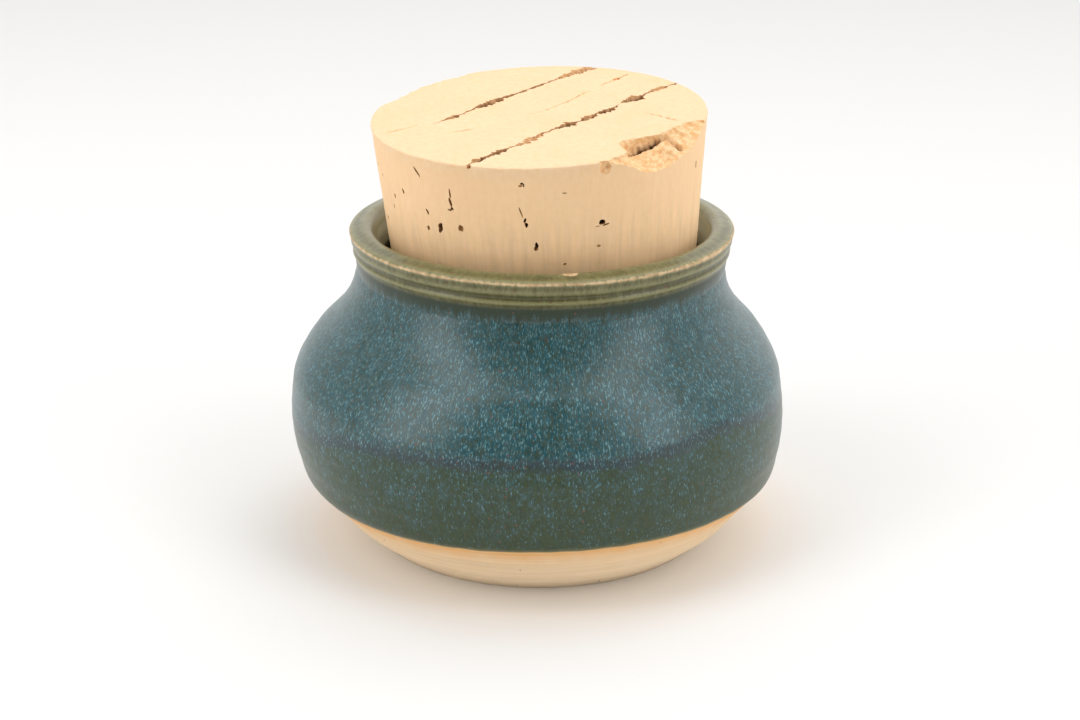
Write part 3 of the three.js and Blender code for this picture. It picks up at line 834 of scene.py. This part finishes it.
place = np.empty(len(cork.data.vertices) * 3, np.float32)
cork.data.vertices.foreach_get("co", place)
place = place.reshape(-1, 3)
keep_fact(cork, "place", place, "FLOAT_VECTOR")
x, y, z = place.T
sunk_below_top = -z
sunk_in_side = CORK_TOP_RADIUS + CORK_TAPER * z - np.hypot(x, y)
keep_fact(cork, "depth", np.minimum(sunk_below_top, sunk_in_side))
keep_fact(cork, "slit", np.exp(-((away_from(SLIT, x, y) / SLIT_SHADE) ** 2)) * np.clip(-z - SLIT_TOP, 0, 1))
turn = np.array(CORK_LEAN.to_matrix())
seated = (place @ turn.T + np.array(CORK_TOP)) * MM
cork.data.vertices.foreach_set("co", seated.astype(np.float32).ravel())
cork.data.update()
only_active(cork)
bpy.ops.object.shade_smooth_by_angle(angle=math.radians(SMOOTH_ANGLE))
low, high = seated.min(0), seated.max(0)
print("cork from", low.round(4), "to", high.round(4))

# %% [markdown]
# ## Materials
#
# Every material is a small network of nodes that starts from the real surface: its colour in sRGB
# as a painter would name it, and its pattern at a real size in millimetres. The networks could be
# clicked together in the shader editor, but a script can be read and run again. One function adds
# a node, sets it and joins it to what feeds it.

# %% Colours and nodes
PAINT = {"data_type": "RGBA"}
SOFT = {"interpolation_type": "SMOOTHSTEP"}


def linear(code):
    """An sRGB hex colour as the linear red, green, blue and alpha that Blender works in."""
    values = [int(code[i : i + 2], 16) / 255 for i in (1, 3, 5)]
    return (*[v / 12.92 if v <= 0.04045 else ((v + 0.055) / 1.055) ** 2.4 for v in values], 1)


def add(tree, kind, inputs=(), out=None, **settings):
    """Adds a node with its settings. The inputs are values, hex colours or other nodes' outputs,
    by name in a dict or in order in a list. It gives the output called out, or else the first."""
    made = tree.nodes.new("ShaderNode" + kind)
    for name, value in settings.items():
        setattr(made, name, value)
    if isinstance(inputs, dict):
        fed = [(made.inputs[name], value) for name, value in inputs.items()]
    else:
        fed = zip([socket for socket in made.inputs if socket.enabled], inputs)
    for socket, value in fed:
        if isinstance(value, bpy.types.NodeSocket):
            tree.links.new(value, socket)
        else:
            socket.default_value = linear(value) if isinstance(value, str) else value
    return made.outputs[out] if out else next((socket for socket in made.outputs if socket.enabled), None)


print("blue of a glaze crystal", [round(v, 3) for v in linear("#74a0a7")[:3]])

# %% [markdown]
# Three more helpers serve every material here. One empties a network before it is filled. One
# makes an uneven pattern whose blobs have a size in millimetres in each direction, which is what
# clay, glaze and cork all need. The last one ends a network with the surface itself: all of them
# are plain surfaces that differ in colour, roughness and fine bumps.

# %% Patterns and surfaces
def start(material):
    """Empties the network of a material or a world, and gives it."""
    material.use_nodes = True
    material.node_tree.nodes.clear()
    return material.node_tree


def mottled(tree, place, size, detail=2.0, roughness=0.6, shift=0.0):
    """Uneven values around a half, in blobs of a size in mm along each direction of the place."""
    scale = tuple(1 / length for length in size)
    moved = add(tree, "VectorMath", [place, scale, (shift,) * 3], operation="MULTIPLY_ADD")
    look = {"Vector": moved, "Scale": 1.0, "Detail": detail, "Roughness": roughness}
    return add(tree, "TexNoise", look)


def surfaced(tree, colour, roughness, ior, bumps=()):
    """Ends a material's network with its surface. Each bump is a pattern, a strength and a depth in m."""
    surface = {"Base Color": colour, "Roughness": roughness, "IOR": ior}
    for pattern, strength, depth in bumps:
        bump = {"Height": pattern, "Strength": strength, "Distance": depth}
        if "Normal" in surface:
            bump["Normal"] = surface["Normal"]
        surface["Normal"] = add(tree, "Bump", bump)
    add(tree, "OutputMaterial", [add(tree, "BsdfPrincipled", surface)])
    print(len(tree.nodes), "nodes")


# %% [markdown]
# ## The glaze
#
# This is a rutile stoneware glaze. Titanium crystals grow in it as it cools and float as short
# blue dashes, drawn downwards as the melt runs, over a clear dark green ground with iron specks.
# Such dashes are often only 0.1 mm wide, which is less than a pixel of the photograph, so they
# are drawn 0.27 mm wide and 0.62 mm long. The pattern could be painted on an image, but noise in
# the coordinates of the flow, stretched along it, never repeats and stays sharp close up.
#
# First comes where the glaze is thick. Thick glaze carries the crystals: fully over the second
# dip, half as much below it and less towards the lower edge, and none at the neck, where the melt
# ran off the ridges.

# %% Where the glaze is thick
DIP_WANDER = 4.0
DIP_FADE = (-2.4, 0.6)
LOWER_COVER = (0.24, 0.5)
NECK_BARE = 0.052
NECK_FADE = 0.002

glaze = bpy.data.materials.new("rutile stoneware glaze, dipped and fired")
tree = start(glaze)
flow_place = add(tree, "Attribute", out="Vector", attribute_name="flow")
over_dip = add(tree, "Attribute", out="Fac", attribute_name="over_dip")
over_line = add(tree, "Attribute", out="Fac", attribute_name="over_line")
height = add(tree, "SeparateXYZ", [add(tree, "TexCoord", out="Object")], out="Z")

edge_noise = mottled(tree, flow_place, (2.0, 2.0, 2.0), 4.0, 0.7, shift=3.1)
dip_wander = add(tree, "Math", [edge_noise, DIP_WANDER, -DIP_WANDER / 2], operation="MULTIPLY_ADD")
dip_depth = add(tree, "Math", [over_dip, dip_wander], operation="ADD")
thick = add(tree, "MapRange", [dip_depth, *DIP_FADE], **SOFT)
lower_cover = add(tree, "MapRange", [over_line, 0.5, 14.0, *LOWER_COVER], **SOFT)
drips = mottled(tree, flow_place, (1.2, 1.2, 30.0), shift=8.4)
neck_wander = add(tree, "Math", [drips, 2 * NECK_FADE, -NECK_FADE], operation="MULTIPLY_ADD")
neck_height = add(tree, "Math", [height, neck_wander], operation="ADD")
below_neck = add(tree, "MapRange", [neck_height, NECK_BARE - NECK_FADE, NECK_BARE, 1.0, 0.0], **SOFT)
crystal_zone = add(tree, "Mix", [thick, lower_cover, 1.0])
crystal_zone = add(tree, "Math", [crystal_zone, below_neck], operation="MULTIPLY")
print("glaze nodes so far", len(tree.nodes))

# %% [markdown]
# Four patterns of growing size add up to how much crystal covers a spot: the dashes themselves,
# their groups, clumps of groups and wide patches, because a melt never runs evenly. Where the sum
# is low the clear ground shows, where it is middling the glaze is clouded blue, and where a dash
# lies on top it is bright. At the edge of the second dip the coats blend to a calm slate band.

# %% Ground and crystals
FLECK = (0.27, 0.27, 0.62)
FLECK_GROUP = (0.9, 0.9, 1.5)
CLUMP = (2.4, 2.4, 4.2)
PATCH = (9.0, 9.0, 9.0)
HUE_PATCH = (0.6, 0.6, 1.1)

flecks = mottled(tree, flow_place, FLECK)
groups = mottled(tree, flow_place, FLECK_GROUP, shift=31.7)
clumps = mottled(tree, flow_place, CLUMP, roughness=0.5, shift=5.7)
patches = mottled(tree, flow_place, PATCH, 3.0, shift=1.9)
hues = mottled(tree, flow_place, HUE_PATCH, shift=14.2)
cover = crystal_zone
for pattern, share in ((flecks, 2.3), (groups, 1.3), (clumps, 0.9), (patches, 0.7)):
    cover = add(tree, "Math", [pattern, share, cover], operation="MULTIPLY_ADD")
crystals = add(tree, "MapRange", [cover, 2.6, 4.0], **SOFT)
bright = add(tree, "Math", [cover, 0.12, flecks], operation="MULTIPLY_ADD")
bright = add(tree, "MapRange", [bright, 0.98, 1.2, 0.0, 0.75], **SOFT)

lower_ground, upper_ground, blue = [
    add(tree, "Mix", [add(tree, "MapRange", [hues, low, high], **SOFT), first, second], **PAINT)
    for low, high, first, second in (
        (0.38, 0.62, "#35421e", "#263921"),
        (0.38, 0.6, "#143839", "#363c1e"),
        (0.36, 0.64, "#29565f", "#3d5657"),
    )
]
upper_part = add(tree, "Math", [thick, below_neck], operation="MULTIPLY")
ground = add(tree, "Mix", [upper_part, lower_ground, upper_ground], **PAINT)
over_band = add(tree, "MapRange", [dip_depth, -2.6, -0.8], **SOFT)
under_band = add(tree, "MapRange", [dip_depth, 1.4, 0.0], **SOFT)
dip_band = add(tree, "Math", [over_band, under_band], operation="MULTIPLY")
band_share = add(tree, "Math", [dip_band, 0.9, clumps], operation="MULTIPLY_ADD")
band_share = add(tree, "MapRange", [band_share, 0.75, 1.55, 0.0, 0.6], **SOFT)
# Towards the collar the ground is painted a darker green: partly the glaze's own colour, partly painted
# shade under the collar.
neck_green_and_shade = add(tree, "MapRange", [neck_height, 0.0492, 0.0514, 0.0, 0.85], **SOFT)
body_colour = ground
layers = ((crystals, blue), (band_share, "#2a303a"), (bright, "#74a0a7"), (neck_green_and_shade, "#13280e"))
for share, layer in layers:
    body_colour = add(tree, "Mix", [share, body_colour, layer], **PAINT)
print("glaze nodes so far", len(tree.nodes))

# %% [markdown]
# Iron in the clay bleeds through the glaze as small brown specks. They are scattered cells rather
# than noise, because each is a round dot: a cell every 1.55 mm holds one dot of 0.19 mm radius,
# and only some of them show. The glaze rolls up thin and olive at its lower edge.

# %% Iron specks and the rolled edge
SPECK_SPACING = 1.55
SPECK_RADIUS = 0.19

speck_cell = add(tree, "TexVoronoi", {"Vector": flow_place, "Scale": 1 / SPECK_SPACING, "Randomness": 1.0})
speck_edge = SPECK_RADIUS / SPECK_SPACING
speck = add(tree, "MapRange", [speck_cell, speck_edge * 1.2, speck_edge * 0.7])
chance = add(tree, "SeparateColor", [speck_cell.node.outputs["Color"]])
speck_shown = add(tree, "Math", [dip_band, 0.4, chance], operation="MULTIPLY_ADD")
speck_shown = add(tree, "MapRange", [speck_shown, 0.35, 0.65, 0.0, 0.8], **SOFT)
speck = add(tree, "Math", [speck, speck_shown], operation="MULTIPLY")
rust = add(tree, "MapRange", [chance.node.outputs["Green"], 0.3, 0.6], **SOFT)
speck_colour = add(tree, "Mix", [rust, "#3b2a26", "#74402f"], **PAINT)
rolled_edge = add(tree, "Math", [edge_noise, 0.8, over_line], operation="MULTIPLY_ADD")
rolled_edge = add(tree, "MapRange", [rolled_edge, 0.5, 1.5, 0.75, 0.0], **SOFT)
for share, layer in ((speck, speck_colour), (rolled_edge, "#6f6b42")):
    body_colour = add(tree, "Mix", [share, body_colour, layer], **PAINT)
print("glaze nodes so far", len(tree.nodes))

# %% [markdown]
# On the rim the glaze lies thin over the ridges and pools in the grooves, so the colour follows
# the fact that says how proud each ring stands. At the lip and at one small chip the clay itself
# shows, dry and without shine. A fact for each could be painted by hand, but the outline already
# knows where its edges are.

# %% Rim, lip and surface of the glaze
ridge, lip_edge, within, chip, inner_line = [
    add(tree, "Attribute", out="Fac", attribute_name=fact)
    for fact in ("ridge", "lip", "within", "chip", "inner")
]
rim_zone = add(tree, "MapRange", [height, 0.0520, 0.0528], **SOFT)
thin = add(tree, "MapRange", [ridge, -0.7, 0.8])
for pattern, share in ((edge_noise, 0.8), (groups, 1.3), (flecks, 0.9)):
    thin = add(tree, "Math", [pattern, share, thin], operation="MULTIPLY_ADD")
thin = add(tree, "Math", [thin, 1.45], operation="SUBTRACT", use_clamp=True)
inner_share = add(tree, "Math", [inner_line, 0.6], operation="MULTIPLY")
rim_colour = add(tree, "Mix", [thin, "#4b4925", "#848158"], **PAINT)
# The throat and the inside get a pale grey-green: partly the glaze's own colour, partly a painted
# reflection that lightens the shaded hollow.
for share, layer in ((inner_share, "#6f6c30"), (speck, "#7a4434"), (within, "#a8b1a1")):
    rim_colour = add(tree, "Mix", [share, rim_colour, layer], **PAINT)

worn = add(tree, "Math", [groups, 2.2, -1.1], operation="MULTIPLY_ADD")
worn = add(tree, "Math", [lip_edge, worn], operation="ADD")
worn = add(tree, "MapRange", [worn, 0.3, 0.8], **SOFT)
worn = add(tree, "Math", [worn, lip_edge], operation="MULTIPLY", use_clamp=True)
chipped = add(tree, "Math", [edge_noise, 0.8, chip], operation="MULTIPLY_ADD")
chipped = add(tree, "MapRange", [chipped, 0.7, 1.1], **SOFT)
bare_lip = add(tree, "Math", [worn, chipped], operation="MAXIMUM")
lip_hue = add(tree, "MapRange", [edge_noise, 0.35, 0.6], **SOFT)
lip_colour = add(tree, "Mix", [lip_hue, "#b8946b", "#dfc197"], **PAINT)

colour = body_colour
for share, layer in ((rim_zone, rim_colour), (bare_lip, lip_colour)):
    colour = add(tree, "Mix", [share, colour, layer], **PAINT)
# Fired glaze is glass, so its IOR is 1.5 and it shines, while the bare lip is nearly matt.
shine = add(tree, "MapRange", [bare_lip, 0.0, 1.0, 0.3, 0.65])
surfaced(tree, colour, shine, 1.5, [(flecks, 0.08, 0.0002)])

# %% [markdown]
# ## The bare clay
#
# Below the glaze the buff stoneware is bare. It fired warm where the glaze's edge fumed it, and
# its colour is painted paler towards the foot, as painted light that offsets the shade near the
# floor. The trimming tool left fine lines round it, three in a millimetre, and grains of iron
# burnt out as a few dark specks. The grit of the clay is 0.25 mm. It is a dry surface, rough and
# with no shine, so it gets a material of its own rather than a share of the glaze's.

# %% Clay material
FLASH_PATCH = (4.0, 4.0, 4.0)
TRIM_LINES = (33.3, 33.3, 1 / 3)
GRIT = (0.25, 0.25, 0.25)
CLAY_SPECK_SPACING = 5.0
CLAY_SPECK_RADIUS = 0.15

clay = bpy.data.materials.new("buff stoneware, trimmed and fired bare")
tree = start(clay)
flow_place = add(tree, "Attribute", out="Vector", attribute_name="flow")
over_line = add(tree, "Attribute", out="Fac", attribute_name="over_line")
flash_noise = mottled(tree, flow_place, FLASH_PATCH, 3.0, 0.5)
flash_reach = add(tree, "Math", [flash_noise, 3.0, -1.5], operation="MULTIPLY_ADD")
flash_place = add(tree, "Math", [over_line, flash_reach], operation="ADD")
flash = add(tree, "MapRange", [flash_place, -4.6, 0.6], **SOFT)
painted_foot_light = add(tree, "MapRange", [flash_place, -5.0, -11.0])
turning = mottled(tree, flow_place, TRIM_LINES, 3.0, 0.5)
shade = add(tree, "MapRange", [turning, 0.3, 0.7, 0.9, 1.04])
speck_cell = add(tree, "TexVoronoi", {"Vector": flow_place, "Scale": 1 / CLAY_SPECK_SPACING})
speck_edge = CLAY_SPECK_RADIUS / CLAY_SPECK_SPACING
speck = add(tree, "MapRange", [speck_cell, speck_edge * 1.5, speck_edge])
grit = mottled(tree, flow_place, GRIT, 4.0, 0.7)

# Painted light: towards the foot the colour goes over to a paler tan, which offsets the shade near the
# floor.
colour = add(tree, "Mix", [painted_foot_light, "#f4d7b0", "#ffe8c8"], **PAINT)
colour = add(tree, "Mix", [flash, colour, "#ecb676"], **PAINT)
colour = add(tree, "VectorMath", [colour, shade], operation="SCALE")
colour = add(tree, "Mix", [speck, colour, "#5d4634"], **PAINT)
surfaced(tree, colour, 0.85, 1.45, [(turning, 0.25, 0.0002), (grit, 0.25, 0.0001)])

# %% [markdown]
# The jar's faces now choose between the two finishes. The rings from the base up to the glaze
# line are bare, and so is the base, while all others are glazed, the inside floor too. A mask in
# one material could do the same, but a real glaze ends at a line, and so does a face.

# %% Give the jar its two finishes
jar.data.materials.append(glaze)
jar.data.materials.append(clay)
bare = np.isin(RING_PART, ["base", "clay"])
base_and_floor = [True, False]
finish = np.concatenate([bare[:-1].repeat(AROUND), base_and_floor]).astype(np.int32)
jar.data.polygons.foreach_set("material_index", finish)
print("bare rings", int(bare.sum()))

# %% [markdown]
# ## The cork's finishes
#
# Cork is a foam of tiny cells, cut here across its growth layers. Sanding leaves the skin pale
# and matt, with a faint mottle about a millimetre across and wider blotches. The side carries
# fine upright scratches and, lower down, shallow grooves from pushing the cork in. Single cells
# are 0.04 mm, far too fine to show, so the mottle stands for them.

# %% Sanded cork material
MOTTLE = (1.111, 1.111, 1.111)
BLOTCH = (11.11, 11.11, 11.11)
SCRATCH = (0.4167, 0.4167, 16.67)
GROOVE = (1.111, 1.111, 50.0)

tree = start(sanded_cork)
cork_place = add(tree, "Attribute", out="Vector", attribute_name="place")
mottle = mottled(tree, cork_place, MOTTLE, 5.0)
blotch = mottled(tree, cork_place, BLOTCH, roughness=0.5)
scratch = mottled(tree, cork_place, SCRATCH, 4.0, 0.7)
groove = mottled(tree, cork_place, GROOVE, roughness=0.7)
below = add(tree, "SeparateXYZ", [cork_place], out="Z")
on_side = add(tree, "MapRange", [below, -0.4, -3.0])
low_side = add(tree, "MapRange", [below, -7.0, -14.0])

tone = add(tree, "MapRange", [mottle, 0.3, 0.7])
blotched = add(tree, "MapRange", [blotch, 0.4, 0.75, 0.0, 0.4])
streak = add(tree, "MapRange", [scratch, 0.25, 0.75, -0.06, 0.04])
streak = add(tree, "Math", [streak, on_side, 1.0], operation="MULTIPLY_ADD")
# The side is painted a brighter, warmer tan than the top: partly the side's own colour, partly painted
# light that makes up for the shade on the side.
side_colour_and_light = add(tree, "Math", [on_side, 0.45], operation="MULTIPLY")
grooved = add(tree, "MapRange", [groove, 0.35, 0.65, -0.06, 0.04])
grooved = add(tree, "Math", [grooved, low_side, 1.0], operation="MULTIPLY_ADD")
colour = add(tree, "Mix", [tone, "#f2cb9d", "#f7d6b1"], **PAINT)
colour = add(tree, "Mix", [blotched, colour, "#efc896"], **PAINT)
colour = add(tree, "VectorMath", [colour, streak], operation="SCALE")
colour = add(tree, "Mix", [side_colour_and_light, colour, "#fcd3a2"], **PAINT)
colour = add(tree, "VectorMath", [colour, grooved], operation="SCALE")
surfaced(tree, colour, 0.85, 1.4, [(mottle, 0.1, 0.0002), (scratch, 0.15, 0.0001)])

# %% [markdown]
# Where the cork is open its cells are torn into crumbs. Its colour is painted darker the deeper
# it lies, as painted shade in the hollows. A broken edge is nearly as pale as the skin and has
# painted shade only in its slit, a crack is brown from the start, and a pore is full of bark
# dust. The three differ in colour and in the size of their crumbs, so one function makes them all.

# %% Opened cork materials
CRUMB_SHARE = 0.6


def opened(material, crumb_size, torn, painted_shade, fact, limits):
    """Cork without its sanded skin: two torn colours in crumbs of crumb_size mm, that go over to
    two darker colours of painted shade between two limits of a stored fact."""
    tree = start(material)
    place = add(tree, "Attribute", out="Vector", attribute_name="place")
    known = add(tree, "Attribute", out="Fac", attribute_name=fact)
    crumb = mottled(tree, place, (crumb_size,) * 3, 4.0, 0.65)
    tone = add(tree, "MapRange", [crumb, 0.4, 0.6])
    known = add(tree, "Math", [crumb, CRUMB_SHARE, known], operation="MULTIPLY_ADD")
    # Painted shade: the colour goes over to the darker pair where a point lies far below the skin, and in
    # the broken edge where it lies near the slit.
    sunk = add(tree, "MapRange", [known, *[limit + CRUMB_SHARE / 2 for limit in limits]])
    torn = add(tree, "Mix", [tone, *torn], **PAINT)
    painted_shade = add(tree, "Mix", [tone, *painted_shade], **PAINT)
    colour = add(tree, "Mix", [sunk, torn, painted_shade], **PAINT)
    surfaced(tree, colour, 0.95, 1.4, [(crumb, 0.5, 0.0004)])


opened(broken_cork, 1.0, ("#f9d6a6", "#e8b47c"), ("#8a6040", "#3c2618"), "slit", (0.15, 0.7))
opened(split_cork, 0.7, ("#dfb07c", "#c9976a"), ("#84654a", "#5a4634"), "depth", (0.35, 1.1))
opened(pore_cork, 0.6, ("#cb9d66", "#b5834f"), ("#6a4a32", "#3e2a1a"), "depth", (0.2, 0.9))
print("materials", [material.name for material in bpy.data.materials if material.users])

# %% [markdown]
# ## Stage and light
#
# The jar stands on a sweep of white paper that ends 25 cm in front of it, on a darker
# table. The paper could run on for ever, but a glossy belly mirrors what lies in front of it: the
# paper's front edge is why the low half of the glaze stays deep green. The table's darker colour
# is painted shade: it stands for the floor in front of the jar, where less light falls.

# %% Paper and table
HALF_WIDTH = 3.0
PAPER_FRONT = -0.25
PAPER_HEIGHT = -0.00005
TABLE_HEIGHT = -0.002


def flat_sheet(name, front, height, material):
    """A level sheet from its front edge to far behind the jar."""
    left, right, far = -HALF_WIDTH, HALF_WIDTH, HALF_WIDTH
    corners = [(left, front, height), (right, front, height), (right, far, height), (left, far, height)]
    sheet = new_object(name, np.array(corners), [(0, 1, 2, 3)])
    sheet.data.materials.append(material)


# Paper scatters all light, so it is matt. Oiled wood has a faint sheen.
paper = bpy.data.materials.new("white paper sweep")
surfaced(start(paper), "#ecebe9", 0.9, 1.3)
table = bpy.data.materials.new("darker table in front, painted shade")
# Painted shade: the table's darker colour stands for the floor in front of the jar, where less light falls.
surfaced(start(table), "#8d8170", 0.5, 1.45)
flat_sheet("paper", PAPER_FRONT, PAPER_HEIGHT, paper)
flat_sheet("table", -HALF_WIDTH, TABLE_HEIGHT, table)
print("paper from", PAPER_FRONT, "m in front of the jar to", HALF_WIDTH, "m behind it")

# %% [markdown]
# A big soft light stands on either side and one hangs overhead. Small hard lights would draw hard
# spots on the glaze. The side ones are tall, so each draws one long highlight down the shoulder
# and the belly, and the top one hangs a little behind, where the shoulder doesn't mirror it.

# %% Softboxes
# Name, degrees from the front to the right and upwards, distance, width and height in m, and watts.
SOFTBOXES = [
    ("left softbox", -60, 31, 0.9, 0.44, 1.15, 3.8),
    ("right softbox", 58, 31, 0.9, 0.42, 1.15, 2.95),
    ("top softbox", 180, 88, 1.0, 0.8, 0.8, 3.1),
]


def softbox(name, around, up, distance, width, height, power):
    """A rectangular soft light that looks at the jar."""
    light = bpy.data.lights.new(name, "AREA")
    light.shape = "RECTANGLE"
    light.size, light.size_y = width, height
    light.energy = power
    lamp = bpy.data.objects.new(name, light)
    bpy.context.scene.collection.objects.link(lamp)
    a, e = math.radians(around), math.radians(up)
    toward = Vector((math.sin(a) * math.cos(e), -math.cos(a) * math.cos(e), math.sin(e)))
    lamp.location = CAMERA_TARGET + distance * toward
    lamp.rotation_euler = (CAMERA_TARGET - lamp.location).to_track_quat("-Z", "Y").to_euler()


for settings in SOFTBOXES:
    softbox(*settings)
print(len(SOFTBOXES), "softboxes")

# %% [markdown]
# All this stands in a white tent that is open where the photographer stood, so the jar reflects a
# darker room there. That dark upright band between the two soft highlights is what makes the
# glaze look wet and round. The tent could be modelled as walls, but a world whose light depends
# on the compass direction does the same and is quicker to render.

# %% Tent
# How bright the tent is in each compass direction, in degrees from the camera towards the right.
TENT_LIGHT = [
    (-180, 1.15), (-150, 1.0), (-118, 0.6), (-95, 0.8), (-70, 0.7), (-42, 0.33), (-26, 0.18), (18, 0.14),
    (34, 0.4), (60, 0.75), (95, 0.75), (112, 1.0), (135, 1.3), (180, 1.2),
]
TENT_MOST = 1.4

world = bpy.data.worlds.new("white tent")
bpy.context.scene.world = world
tree = start(world)
direction = add(tree, "SeparateXYZ", [add(tree, "TexCoord", out="Generated")]).node.outputs
toward_camera = add(tree, "Math", [direction["Y"], -1.0], operation="MULTIPLY")
compass = add(tree, "Math", [direction["X"], toward_camera], operation="ARCTAN2")
turned = add(tree, "Math", [compass, 1 / (2 * math.pi), 0.5], operation="MULTIPLY_ADD")
tent = add(tree, "ValToRGB", [turned])
stops = tent.node.color_ramp.elements
while len(stops) < len(TENT_LIGHT):
    stops.new(1.0)
for stop, (degrees, light) in zip(stops, TENT_LIGHT):
    stop.position = 0.5 + degrees / 360
    stop.color = (*[light / TENT_MOST] * 3, 1)
add(tree, "OutputWorld", [add(tree, "Background", [tent, TENT_MOST])])
bpy.context.scene.view_settings.view_transform = "Standard"
print(len(TENT_LIGHT), "stops of tent light")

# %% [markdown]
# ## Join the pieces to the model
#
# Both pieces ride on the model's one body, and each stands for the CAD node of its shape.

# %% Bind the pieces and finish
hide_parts("jar")
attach(jar, "root")
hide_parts("cork")
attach(cork, "root")
